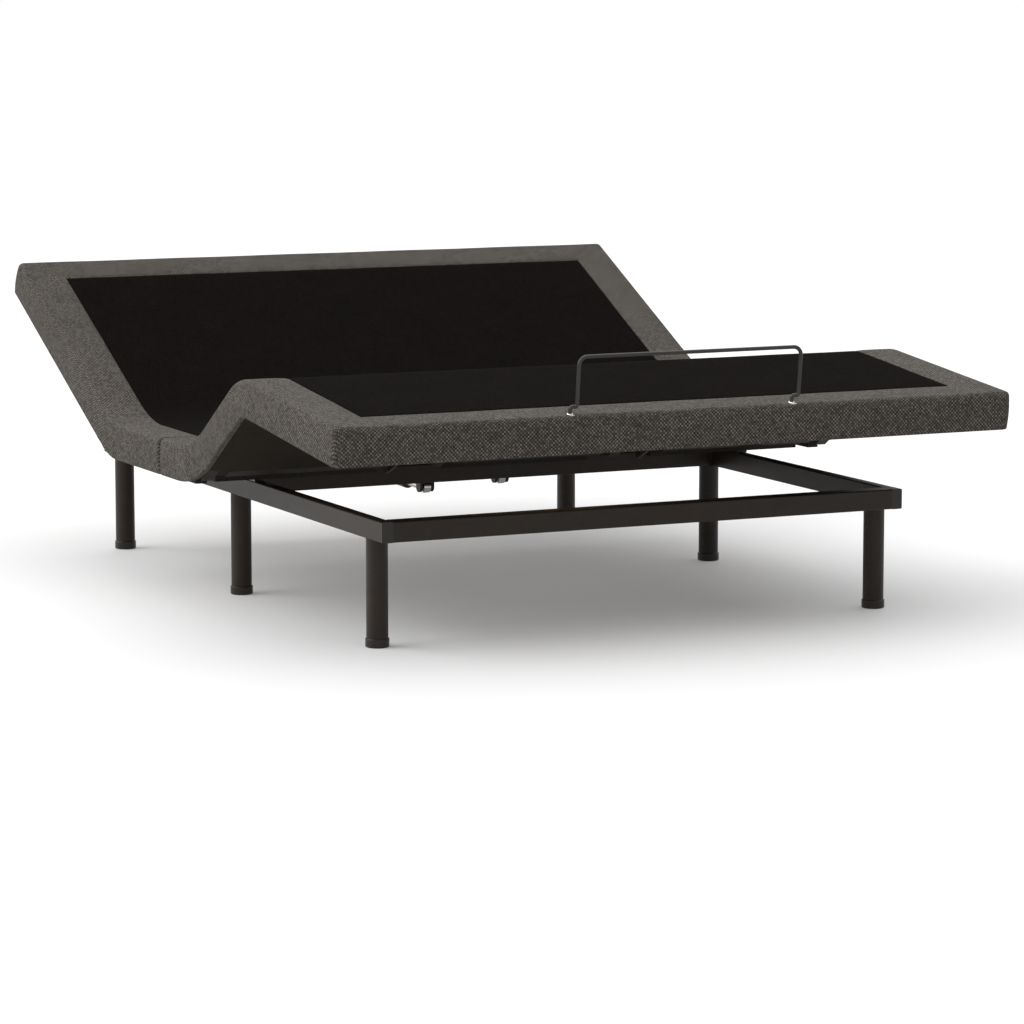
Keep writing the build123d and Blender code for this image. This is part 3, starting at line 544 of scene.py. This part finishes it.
BROWN_PAINT = painted("brown_powder_coat", (0.0170, 0.0118, 0.0082), 0.40)
WIRE_PAINT = painted("bar_lacquer", (0.030, 0.027, 0.025), 0.34, grain=0.00005, wear=0.15)
FINISHES = {
    "frame_paint": BROWN_PAINT,
    "bar_wire": WIRE_PAINT,
    "zinc_steel": plated("zinc_plate", (0.52, 0.52, 0.50), 0.42, (60.0, 900.0, 60.0)),
    "bright_rod": plated("ground_chrome", (0.75, 0.75, 0.76), 0.18, (1600.0, 40.0, 1600.0)),
    "socket_metal": plated("bright_plate", (0.82, 0.80, 0.76), 0.22, (400.0, 400.0, 60.0)),
    "black_plastic": moulded("black_moulding", (0.0165, 0.0135, 0.0112), 0.30),
    "roller_nylon": moulded("turned_nylon", (0.66, 0.63, 0.56), 0.42, relief=0.0001),
    "plywood": wooden("birch_ply", pale=(0.52, 0.37, 0.22), dark=(0.42, 0.28, 0.15),
                      stretch=(6.0, 60.0, 260.0), relief=0.0003),
    # The timber is coloured near black as painted shade, for the battens that stand in the shade
    # under the deck.
    "timber": wooden("stained_pine", pale=(0.020, 0.016, 0.013), dark=(0.011, 0.009, 0.007),
                     stretch=(70.0, 9.0, 70.0), relief=0.0004),
    "tweed": TWEED, "nonslip_cloth": NONSLIP, "dust_cloth": DUST,
}

# %% Give every carried-over part its finish
for node in frame["nodes"].values():
    for part_slot in node.material_slots:
        part_slot.material = FINISHES[part_slot.material.name]
print("finished", len(frame["nodes"]), "carried-over parts")

# %% [markdown]
# ## The padded covers
# On the real base, tweed is pulled over about a centimetre of foam on each board, round the
# sides and under. Its edges are soft, and the cloth puckers a little where a section folds up.
# It could be simulated, but it is stretched so tight that nothing would fall, so it is drawn.
# Each cover is a tray turned upside down, drawn as rings across the deck. The rings shrink round
# the corner at a free end, and the last few close the end wall with a slight crown. Three covers
# meet at the seat's seam and in the middle of the thigh section.

# %% Sizes of the padding
EDGE_R = 0.0105  # soft long edges
HEM_R = 0.0035  # lower edge, where the cloth turns under
CORNER_R = 0.0135  # upright corners, seen from above
PLUMP = 0.0020  # rise of the padded border
PLUMP_RUN = 0.030  # the rise is complete this far from the panel
HEM_DROP = 0.0020  # cloth wrapped under the boards
GROOVE = 0.0020  # dip where the black panel is let in
GROOVE_WIDE = 0.0022
GROOVE_STEPS = np.array([-0.006, -0.0028, -0.001, 0.001, 0.0028, 0.006])
SIDE_CROWN = 0.0020  # outward swell of the side walls
END_CROWN = 0.0022  # and of the head and foot walls
SEAM_R = 0.009  # where a cover turns down at the seat's seam
SEAM_GAP = 0.0044
HEAD_BORDER = 0.081  # tweed above the panel at the head
PUCKERS = {"seat": (0.060, 0.0016), "head": (0.085, 0.0008)}  # reach and height
RIPPLE, FINE_RIPPLE = 150.0, 310.0  # radians of ripple per metre
HAIR = 1e-6  # slack when two heights are compared
PANEL_INSET = HALF - PANEL_HALF
PANEL_END = {"head": HEAD_END - HEAD_BORDER, "foot": FOOT_END + PANEL_INSET}
print("panel ends", {end: round(float(y), 4) for end, y in PANEL_END.items()})

# %% How the top rises and dips
def groove_at(x, y):
    """How far the top dips beside the edge of the black panel."""
    from_side = PANEL_HALF - np.abs(x)
    from_end = np.minimum(PANEL_END["head"] - y, y - PANEL_END["foot"])
    nearest = np.minimum(from_side, from_end)
    return GROOVE * np.exp(-(nearest / GROOVE_WIDE) ** 2)


def plump_at(x, y):
    """Rise of the padded border between the black panel and the outer edge."""
    beyond = np.maximum.reduce([np.abs(x) - PANEL_HALF, y - PANEL_END["head"],
                                PANEL_END["foot"] - y])
    return PLUMP * np.sin(math.pi / 2 * np.clip(beyond / PLUMP_RUN, 0, 1))


def pucker_at(x, y):
    """Small ripples of cloth at the sides of the two folds that close upwards."""
    total = np.zeros_like(x)
    for name, (spread, height) in PUCKERS.items():
        off = y - FOLDS[name][0]
        near = np.exp(-(off / spread) ** 2)
        outer = np.clip((np.abs(x) - PANEL_HALF - 0.01) / 0.05, 0, 1)
        wave = np.sin(off * RIPPLE + 2.0 * np.sin(x * 3.0 + 1.0))
        wave = wave + 0.35 * np.sin(off * FINE_RIPPLE)
        total += height * near * outer * wave
    return total


def softness_at(x, y):
    """Faint unevenness of the foam."""
    return 0.0004 * np.sin(21 * x + 1.3 * np.sin(9 * y)) * np.sin(17 * y + 0.8 * np.sin(13 * x + 1))


# %% Shape of one ring
def half_profile(width, top, hollow):
    """Points of half a ring, as (x, z), from the middle of the top round to the cavity."""
    across = list(np.linspace(0, PANEL_HALF - 0.02, 12))
    across += list(PANEL_HALF + GROOVE_STEPS)
    outer = across[-1]
    across += [outer + (width - EDGE_R - outer) * t for t in (0.2, 0.4, 0.6, 0.8)]
    line = [(x, top) for x in across]
    for t in np.linspace(0, 1, 10):
        a = t * math.pi / 2
        line.append((width - EDGE_R + EDGE_R * math.sin(a), top - EDGE_R + EDGE_R * math.cos(a)))
    side = top - EDGE_R - (BOTTOM + HEM_R)
    for t in (0.17, 0.33, 0.5, 0.67, 0.83, 1.0):
        line.append((width + SIDE_CROWN * math.sin(math.pi * t), top - EDGE_R - side * t))
    for t in (0.33, 0.67, 1.0):
        a = t * math.pi / 2
        line.append((width - HEM_R + HEM_R * math.cos(a), BOTTOM + HEM_R - HEM_R * math.sin(a)))
    inner = min(CORE, width - HEM_R - 0.002)
    return line + [(inner, BOTTOM), (inner, hollow), (inner * 0.5, hollow), (0, hollow)]


def ring(y, width, top, hollow):
    """A closed ring of flat points at one station."""
    right = half_profile(width, top, hollow)
    left = [(-x, z) for x, z in right[-2:0:-1]]
    return np.array([(x, y, z) for x, z in right + left])


def dress_ring(points, top, hollow):
    """Give a plain ring its groove, plump border, wrapped hem and puckers."""
    x, at = points[:, 0], points[:, 1]
    in_cavity = (np.abs(points[:, 2] - hollow) < HAIR) & (hollow > BOTTOM)
    outside = (points[:, 2] > BOTTOM + 0.001) & ~in_cavity
    on_top = outside & (points[:, 2] > top - HAIR)
    points[:, 2] += np.where(on_top, softness_at(x, at) - groove_at(x, at), 0)
    share_up = np.clip((points[:, 2] - BOTTOM) / (TOP - BOTTOM), 0, 1)
    points[:, 2] += np.where(outside, plump_at(x, at) * share_up, 0)
    points[:, 2] -= np.where(points[:, 2] < BOTTOM + HEM_R + HAIR, HEM_DROP, 0)
    ripple = pucker_at(x, at) * outside
    points[:, 0] += np.sign(x) * np.where(on_top, 0, ripple)
    points[:, 2] += np.where(on_top, ripple * 0.7, 0)
    return points


# %% Rows: the place, width, height and cavity of each ring
def free_end(end, way):
    """Rows round a free end: the cavity stops at the wall, then the top rounds over."""
    rows = []
    for t in np.linspace(0, 1, 12):
        back = EDGE_R * (1 - math.sin(t * math.pi / 2))
        drop = EDGE_R * (1 - math.cos(t * math.pi / 2))
        inset = max(0.0, CORNER_R - back)
        width = HALF - CORNER_R + math.sqrt(max(0.0, CORNER_R ** 2 - inset ** 2))
        cavity = CAVITY_TOP if back > WALL else BOTTOM
        rows.append((end - way * back, width, TOP - drop, cavity))
    for i, (before, after) in enumerate(zip(rows, rows[1:])):
        if before[3] != after[3]:
            rows.insert(i + 1, (*before[:3], BOTTOM))
            break
    return rows


def seam_end(end, way):
    """Rows that turn down into a seam."""
    turns = [t * math.pi / 2 for t in (0.25, 0.5, 0.75, 1.0)]
    return [(end - way * SEAM_R * (1 - math.sin(a)), HALF - SEAM_R * (1 - math.cos(a)),
             TOP - SEAM_R * (1 - math.cos(a)), CAVITY_TOP) for a in turns]


def cover_rows(low, high, low_end, high_end):
    """All the rows of one cover, from its low place to its high one."""
    extra = [PANEL_END[k] + s for k in PANEL_END for s in GROOVE_STEPS]
    inset = {"free": EDGE_R, "seam": SEAM_R, "cut": 0.0}
    ys = stations(low + inset[low_end], high - inset[high_end], STEP, extra)
    rows = [(y, HALF, TOP, CAVITY_TOP) for y in ys]
    for end, kind, way in ((low, low_end, -1), (high, high_end, 1)):
        more = []
        if kind == "free":
            more = free_end(end, way)[1:]
        elif kind == "seam":
            more = seam_end(end, way)
        rows = rows + more if way > 0 else more[::-1] + rows
    return rows


# %% One cover
def cover(name, low, high, low_end, high_end):
    """A padded cover between two flat places; an end is "free", "seam" or "cut"."""
    rings, spots = [], []
    for y, width, top, hollow in cover_rows(low, high, low_end, high_end):
        points = dress_ring(ring(y, width, top, hollow), top, hollow)
        way = 1 if y > (low + high) / 2 else -1
        u = np.sign(points[:, 0]) * (np.abs(points[:, 0]) + np.maximum(0, top - points[:, 2]))
        v = np.full(len(u), y + way * (TOP - top))
        rings.append(points)
        spots.append(list(zip(u, v)))
    maps = [[a, b] for a, b in zip(spots, spots[1:])]
    if high_end == "free":
        close_end(rings, maps, high, 1)
    if low_end == "free":
        rings.reverse()
        maps = [[b, a] for a, b in maps[::-1]]
        close_end(rings, maps, low, -1)
    return skin(name, rings, maps, TWEED)


def close_end(rings, maps, end, way):
    """Add shrinking rings that close a free end with a slight crown."""
    base = rings[-1]
    top, middle = base[:, 2].max(), (base[:, 2].max() + base[:, 2].min()) / 2
    half_high = top - middle
    width = base[:, 0].max()

    def end_map(points):
        return [(p[0], end + way * (EDGE_R + top - p[2])) for p in points]

    for share in (0.12, 0.28, 0.48, 0.72, 0.97):
        inset = share * half_high
        points = base.copy()
        points[:, 0] *= 1 - inset / width
        points[:, 2] = middle + (points[:, 2] - middle) * (1 - share)
        points[:, 1] = end + way * END_CROWN * (1 - (1 - share) ** 2)
        maps.append([end_map(rings[-1]), end_map(points)])
        rings.append(points)


# %% Make the three covers
head_cover = cover("head_upholstery", SEAM_Y + SEAM_GAP / 2, HEAD_END, "seam", "free")
thigh_cover = cover("seat_thigh_upholstery", THIGH_MIDDLE, SEAM_Y - SEAM_GAP / 2, "cut", "seam")
leg_cover = cover("leg_upholstery", FOOT_END, THIGH_MIDDLE, "free", "cut")

# %% [markdown]
# ## The black non-slip panels
# A panel of matt black cloth is let into the top of each section, so that a mattress doesn't
# slide. It is a thin sheet stretched flat, with its edges rolled down into the groove of the
# cover. The sheets fold with the covers, so they use the same steps and the same function.

# %% Make the panels
PANEL_RISE = 0.0009  # face of the cloth above the deck's top
PANEL_TUCK = 0.0016  # how far a free edge dips
PANEL_UNDER = 0.0022  # underside, hidden in the foam
ROLL, ROLL_MIDDLE = 0.003, 0.0012  # width of the rolled edge, and a step in it
PANEL_GAP = 0.001  # from the seat's seam


def panel(name, low, high, low_free, high_free):
    """A panel between two flat places; a free edge is tucked down into its groove."""
    xs = np.concatenate([[-PANEL_HALF, -PANEL_HALF + ROLL_MIDDLE, -PANEL_HALF + ROLL],
                         np.linspace(-PANEL_HALF + 0.02, PANEL_HALF - 0.02, 28),
                         [PANEL_HALF - ROLL, PANEL_HALF - ROLL_MIDDLE, PANEL_HALF]])
    edges = (low + ROLL_MIDDLE, low + ROLL, high - ROLL, high - ROLL_MIDDLE)
    ys = stations(low, high, STEP, edges)

    def top(x, y):
        edge = PANEL_HALF - np.abs(x)
        if low_free:
            edge = np.minimum(edge, y - low)
        if high_free:
            edge = np.minimum(edge, high - y)
        rolled = np.clip(edge / ROLL, 0, 1)
        return TOP + PANEL_RISE - PANEL_TUCK * (1 - rolled) ** 2 + softness_at(x, y)

    return slab(name, xs, ys, top, lambda x, y: np.full_like(x, TOP - PANEL_UNDER), NONSLIP)


head_panel = panel("head_panel_cloth", SEAM_Y + PANEL_GAP, PANEL_END["head"], False, True)
thigh_panel = panel("thigh_panel_cloth", THIGH_MIDDLE, SEAM_Y - PANEL_GAP, False, False)
leg_panel = panel("leg_panel_cloth", PANEL_END["foot"], THIGH_MIDDLE, True, False)

# %% [markdown]
# ## Dust cloths underneath
# Thin black cloth is stapled under each moving section, on each side of the lift arms. It hangs
# a few millimetres between its staples. Each is one sheet on its own section, so no hinge bends
# it. The sag is drawn as a belly with faint scallops along its edges.

# %% Make the dust cloths
DUST_STRIP = 0.419  # width of cloth under each half of the deck
DUST_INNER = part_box("thigh_dust_cover")[1].x - DUST_STRIP
DUST_OUTER = CORE - 0.001
DUST_SAG = 0.0035
DUST_DROP, DUST_THICK = 0.0004, 0.0006
SCALLOP = 0.0006


def dust_cloth(name, low, high, side):
    """One sagging sheet between two flat places, on the side given by -1 or 1."""
    xs = np.linspace(DUST_INNER, DUST_OUTER, 26) * side
    ys = np.linspace(low, high, 26)

    def hang(x, y):
        across = np.clip((np.abs(x) - DUST_INNER) / (DUST_OUTER - DUST_INNER), 0, 1)
        along = (y - low) / (high - low)
        belly = np.sin(math.pi * across) * np.sin(math.pi * along)
        scallop = SCALLOP * np.sin(along * 40) * (1 - across)
        scallop = scallop + SCALLOP * np.sin(across * 30) * (1 - along)
        return BOTTOM - DUST_DROP - DUST_SAG * np.sqrt(belly) - np.abs(scallop)

    return slab(name, np.sort(xs), ys, hang, lambda x, y: hang(x, y) - DUST_THICK, DUST)


DUST_RANGES = {
    "head_section": ("head", HEAD_AXIS[0] + 0.045, HEAD_END - WALL),
    "thigh_section": ("thigh", KNEE_Y + 0.010, THIGH_AXIS[0] - 0.018),
    "leg_section": ("leg", FOOT_END + WALL, KNEE_Y - 0.010),
}
dust_cloths = {}
for body, (label, low, high) in DUST_RANGES.items():
    for side, hand in ((-1, "left"), (1, "right")):
        name = f"{label}_dust_cloth_{hand}"
        dust_cloths[name] = (dust_cloth(name, low, high, side), body, label, high - low)

# %% [markdown]
# ## Rows of small things with Geometry Nodes
# Stitches, staples and weld ripples are the same small shape set along a line. One tree makes
# all three: it steps along a path, turns a rounded bead to the path's direction at each point,
# and ends as real geometry with its material. Its sizes are named inputs.

# %% The row tree
BEAD_SEGMENTS, BEAD_RINGS = 8, 5  # few faces, because there are hundreds of beads
ROW_INPUTS = (("Path", "NodeSocketGeometry", None), ("Pitch", "NodeSocketFloat", 0.007),
              ("Size", "NodeSocketVector", (0.005, 0.001, 0.001)),
              ("Finish", "NodeSocketMaterial", None))


def row_tree():
    """The tree that sets a bead at even steps along a path."""
    tree = bpy.data.node_groups.new("row_along_path", "GeometryNodeTree")
    for label, kind, value in ROW_INPUTS:
        socket = tree.interface.new_socket(name=label, in_out="INPUT", socket_type=kind)
        if value is not None:
            socket.default_value = value
    tree.interface.new_socket(name="Row", in_out="OUTPUT", socket_type="NodeSocketGeometry")
    given, out = add(tree, "NodeGroupInput"), add(tree, "NodeGroupOutput")
    curve = add(tree, "GeometryNodeMeshToCurve")
    sample = add(tree, "GeometryNodeResampleCurve", mode="LENGTH")
    bead = add(tree, "GeometryNodeMeshUVSphere",
               {"Radius": 0.5, "Segments": BEAD_SEGMENTS, "Rings": BEAD_RINGS})
    shape = add(tree, "GeometryNodeTransform")
    tangent = add(tree, "GeometryNodeInputTangent")
    turn = add(tree, "FunctionNodeAlignRotationToVector", axis="X")
    place = add(tree, "GeometryNodeInstanceOnPoints")
    real = add(tree, "GeometryNodeRealizeInstances")
    paint = add(tree, "GeometryNodeSetMaterial")
    for source, leaves, target, enters in (
            (given, "Path", curve, "Mesh"), (curve, "Curve", sample, "Curve"),
            (given, "Pitch", sample, "Length"), (bead, "Mesh", shape, "Geometry"),
            (given, "Size", shape, "Scale"), (tangent, "Tangent", turn, "Vector"),
            (sample, "Curve", place, "Points"), (shape, "Geometry", place, "Instance"),
            (turn, "Rotation", place, "Rotation"), (place, "Instances", real, "Geometry"),
            (real, "Geometry", paint, "Geometry"), (given, "Finish", paint, "Material"),
            (paint, "Geometry", out, "Row")):
        tree.links.new(source.outputs[leaves], target.inputs[enters])
    return tree


ROW = row_tree()
print("row tree with", len(ROW.nodes), "nodes")


# %% Bake a row
def row(name, paths, pitch, size, finish):
    """Bake a row of beads along one or more paths of points into a plain mesh."""
    points = [tuple(p) for path in paths for p in path]
    edges, start = [], 0
    for path in paths:
        edges += [(start + i, start + i + 1) for i in range(len(path) - 1)]
        start += len(path)
    mesh = bpy.data.meshes.new(name + "_path")
    mesh.from_pydata(points, edges, [])
    guide = new_object(name + "_path", mesh)
    modifier = guide.modifiers.new("row", "NODES")
    modifier.node_group = ROW
    values = {"Pitch": pitch, "Size": size, "Finish": finish}
    for item in ROW.interface.items_tree:
        if item.in_out == "INPUT" and item.name in values:
            modifier[item.identifier] = values[item.name]
    ready = guide.evaluated_get(bpy.context.evaluated_depsgraph_get())
    baked = bpy.data.meshes.new_from_object(ready)
    bpy.data.objects.remove(guide)
    baked.name = name
    baked.shade_smooth()
    print(name, len(baked.polygons), "faces")
    return new_object(name, baked)


# %% Stitches round the black panels
STITCH_OFF = 0.0065  # from the panel's edge
STITCH_PITCH = 0.0075
STITCH = (0.0056, 0.0011, 0.0010)  # length, width, height
STITCH_UP = 0.0002
SEAM_STOP = 0.008  # the lines stop before the seat's seam
THREAD = moulded("panel_thread", (0.030, 0.028, 0.026), 0.7)
stitch_x = PANEL_HALF + STITCH_OFF


def stitches(name, low, high, ends=()):
    """Two long lines of stitches between two flat places, and one across at each of the ends."""
    lines = [[(side * stitch_x, y) for y in stations(low, high, 0.02)] for side in (-1, 1)]
    lines += [[(x, y) for x in np.linspace(-stitch_x, stitch_x, 60)] for y in ends]
    paths = [folded([(x, y, TOP + STITCH_UP) for x, y in line]) for line in lines]
    return row(name, paths, STITCH_PITCH, STITCH, THREAD)


head_line, foot_line = PANEL_END["head"] + STITCH_OFF, PANEL_END["foot"] - STITCH_OFF
head_stitches = stitches("head_panel_stitches", SEAM_Y + SEAM_STOP, head_line, [head_line])
thigh_stitches = stitches("thigh_panel_stitches", THIGH_MIDDLE, SEAM_Y - SEAM_STOP)
leg_stitches = stitches("leg_panel_stitches", foot_line, THIGH_MIDDLE, [foot_line])

# %% Staples along the dust cloths
STAPLE = (0.009, 0.0012, 0.0009)  # length, width, height
STAPLE_PITCH = 0.055
STAPLE_Z = BOTTOM - 0.0022
STAPLE_BLACK = moulded("blackened_staple", (0.010, 0.009, 0.008), 0.7)
staple_rows = {}
for body, (label, low, high) in DUST_RANGES.items():
    lines = []
    ys = np.linspace(low + 0.01, high - 0.01, 30)
    xs = np.linspace(DUST_INNER + 0.02, DUST_OUTER - 0.02, 20)
    for side in (-1, 1):
        for x in (DUST_OUTER - 0.006, DUST_INNER + 0.008):
            lines.append(folded([(side * x, y, STAPLE_Z) for y in ys]))
        for y in (low + 0.006, high - 0.006):
            lines.append(folded([(side * x, y, STAPLE_Z) for x in xs]))
    staple_rows[label] = (row(label + "_staples", lines, STAPLE_PITCH, STAPLE, STAPLE_BLACK), body)

# %% Weld ripples where the cross rails meet the side rails
WELD = (0.0042, 0.0060, 0.0060)  # a ripple's length, width and height
WELD_PITCH = 0.0026
WELD_OFF = 0.0004  # out from the face of the cross rail
rails_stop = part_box("side_rail_left")[1].y - 0.012  # the flush outer corners have no weld
weld_lines = []
for rail in ("foot_rail", "middle_rail", "head_rail"):
    rail_low, rail_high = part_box(rail)
    for side in (-1, 1):
        x = side * (rail_high.x - 0.0008)
        heights = np.linspace(rail_low.z + 0.004, rail_high.z - 0.004, 8)
        for y in (rail_low.y - WELD_OFF, rail_high.y + WELD_OFF):
            if abs(y) < rails_stop:
                weld_lines.append([(x, y, z) for z in heights])
welds = row("frame_welds", weld_lines, WELD_PITCH, WELD, BROWN_PAINT)

# %% [markdown]
# ## Sockets of the retainer bar
# The bar's feet drop into two bright sockets at the foot edge. A socket is a turned part, so its
# outline is drawn once and spun: a rolled flange, a raised collar and a bore.

# %% Spin the sockets
SOCKET_R = 0.011  # outside of the flange
BAR_R = 0.0040
FOOT_TO_SOCKET = 0.016  # from the foot edge, on the flat deck
BORE = BAR_R + 0.0003
BODY = 0.0068  # outside of the part below the flange
ROLL_R = 0.0011  # rolled rim of the flange
SPIN_STEPS = 48
socket_low, socket_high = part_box("retainer_sockets")


def spun(centre_x, centre_y, outline):
    """Flat points and faces of an outline (radius, height) turned round an upright line."""
    points, faces = [], []
    for i in range(SPIN_STEPS):
        a = 2 * math.pi * i / SPIN_STEPS
        points += [(centre_x + r * math.cos(a), centre_y + r * math.sin(a), TOP + h)
                   for r, h in outline]
    count = len(outline)
    for i in range(SPIN_STEPS):
        for j in range(count):
            a, b = i * count + j, i * count + (j + 1) % count
            c = ((i + 1) % SPIN_STEPS) * count
            faces.append((a, b, c + (j + 1) % count, c + j))
    return points, faces


outline = [(BORE, -0.0070), (BODY, -0.0070), (BODY, -0.0006), (SOCKET_R - 0.0006, -0.0006)]
outline += [(SOCKET_R - 0.0008 + ROLL_R * math.sin(a), 0.0005 - ROLL_R * math.cos(a))
            for a in np.linspace(0.3, math.pi * 0.95, 6)]
outline += [(0.0085, 0.0010), (BODY, 0.0012), (0.0062, 0.0026), (0.0056, 0.0031),
            (BAR_R + 0.0010, 0.0030), (BORE, 0.0024)]
points, faces = [], []
for centre_x in (socket_low.x + SOCKET_R, socket_high.x - SOCKET_R):
    more_points, more_faces = spun(centre_x, FOOT_END + FOOT_TO_SOCKET, outline)
    faces += [tuple(v + len(points) for v in face) for face in more_faces]
    points += more_points
sockets = finish_mesh("retainer_grommets", folded(points), faces,
                      [[(0.0, 0.0)] * 4 for _ in faces], FINISHES["socket_metal"], smooth_angle=50)

# %% [markdown]
# ## Set every piece in the model
# A cover, its panel and its stitches stay where they were folded, and the rigid pieces ride on
# their bodies. The plain parts that they stand for are hidden. The weights turn over
# a short stretch, the same for a cover, its panel and its stitches, so the three stay together.


def bend_over(piece, name):
    """Bake a piece's place into its mesh; the hinge name is not used."""
    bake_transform(piece)


# %% Covers, panels and stitches
SETS = {
    "head": (head_cover, head_panel, head_stitches, PANEL_END["head"] - SEAM_Y,
             ("head_cover", "seat_rear_cover")),
    "seat": (thigh_cover, thigh_panel, thigh_stitches, SEAM_Y - THIGH_MIDDLE,
             ("seat_front_cover", "thigh_cover")),
    "knee": (leg_cover, leg_panel, leg_stitches, THIGH_MIDDLE - PANEL_END["foot"],
             ("leg_cover",)),
}
for name, (padding, cloth, seam, length, plain) in SETS.items():
    for piece in (padding, cloth, seam):
        bend_over(piece, name)
    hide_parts(*plain)
    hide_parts(*(part.replace("_cover", "_nonslip_panel") for part in plain))
print("blended", 3 * len(SETS), "pieces")

# %% Dust cloths, staples, welds and sockets
for piece, body, label, length in dust_cloths.values():
    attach(piece, body)
    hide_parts(label + "_dust_cover")
for piece, body in staple_rows.values():
    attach(piece, body)
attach(welds, "base_frame")
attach(sockets, "leg_section")
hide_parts("retainer_sockets")
print("rigid pieces", len(dust_cloths) + len(staple_rows) + 2)

# %% [markdown]
# ## Studio
# A pale floor that glows faintly like a light table, a white surround and two very wide lights.
# Most light comes from above and some from the left, so the foot edge lies in shade.

# %% Floor
FLOOR_HALF = 60.0
FLOOR_GREY, FLOOR_GLOW = 0.54, 0.17
floor_mesh = bpy.data.meshes.new("floor")
corners = [(x * FLOOR_HALF, y * FLOOR_HALF, 0) for x, y in ((-1, -1), (1, -1), (1, 1), (-1, 1))]
floor_mesh.from_pydata(corners, [], [(0, 1, 2, 3)])
floor = new_object("floor", floor_mesh)
floor_material = finish_base(
    "pale_floor", 0.7, Base_Color=(FLOOR_GREY, FLOOR_GREY, FLOOR_GREY, 1.0),
    Emission_Color=(1.0, 1.0, 1.0, 1.0), Emission_Strength=FLOOR_GLOW, Specular_IOR_Level=0.1)[0]
floor_mesh.materials.append(floor_material)

# %% Surround: soft light on the object, plain white behind it
AMBIENT = 0.36
world = bpy.data.worlds.new("surround")
scene.world = world
world.use_nodes = True
tree = world.node_tree
tree.nodes.clear()
soft, bright = [add(tree, "ShaderNodeBackground", {"Color": (1, 1, 1, 1), "Strength": strength})
                for strength in (AMBIENT, 1.0)]
seen = add(tree, "ShaderNodeLightPath").outputs["Is Camera Ray"]
choose = add(tree, "ShaderNodeMixShader", {0: seen, 1: soft.outputs[0], 2: bright.outputs[0]})
add(tree, "ShaderNodeOutputWorld", {"Surface": choose.outputs[0]})


# %% Lights
def softbox(name, from_way, spread, power):
    """A wide, even light from one side, given as a direction and a spread in degrees."""
    light = bpy.data.lights.new(name, "SUN")
    light.angle = math.radians(spread)
    light.energy = power
    lamp = new_object(name, light)
    lamp.location = Vector(from_way) * 5.0
    lamp.rotation_mode = "QUATERNION"
    lamp.rotation_quaternion = Vector(from_way).to_track_quat("Z", "Y")


softbox("top_softbox", (-0.05, 0.25, 1.0), 120.0, 3.6)
softbox("left_softbox", (-0.80, 0.26, 0.50), 60.0, 1.7)

# %% Camera
CAMERA_PLACE = (-3.6814, -7.9719, 1.3693)
CAMERA_DOWN, CAMERA_TURN = 7.932, 25.218  # degrees
camera_data = bpy.data.cameras.new("camera")
camera_data.sensor_width = 36.0
camera_data.lens = 139.82
camera_data.clip_end = 300.0
camera = new_object("camera", camera_data)
camera.location = CAMERA_PLACE
camera.rotation_euler = (math.radians(90 - CAMERA_DOWN), 0.0, math.radians(-CAMERA_TURN))
scene.camera = camera
scene.view_settings.view_transform = "Standard"
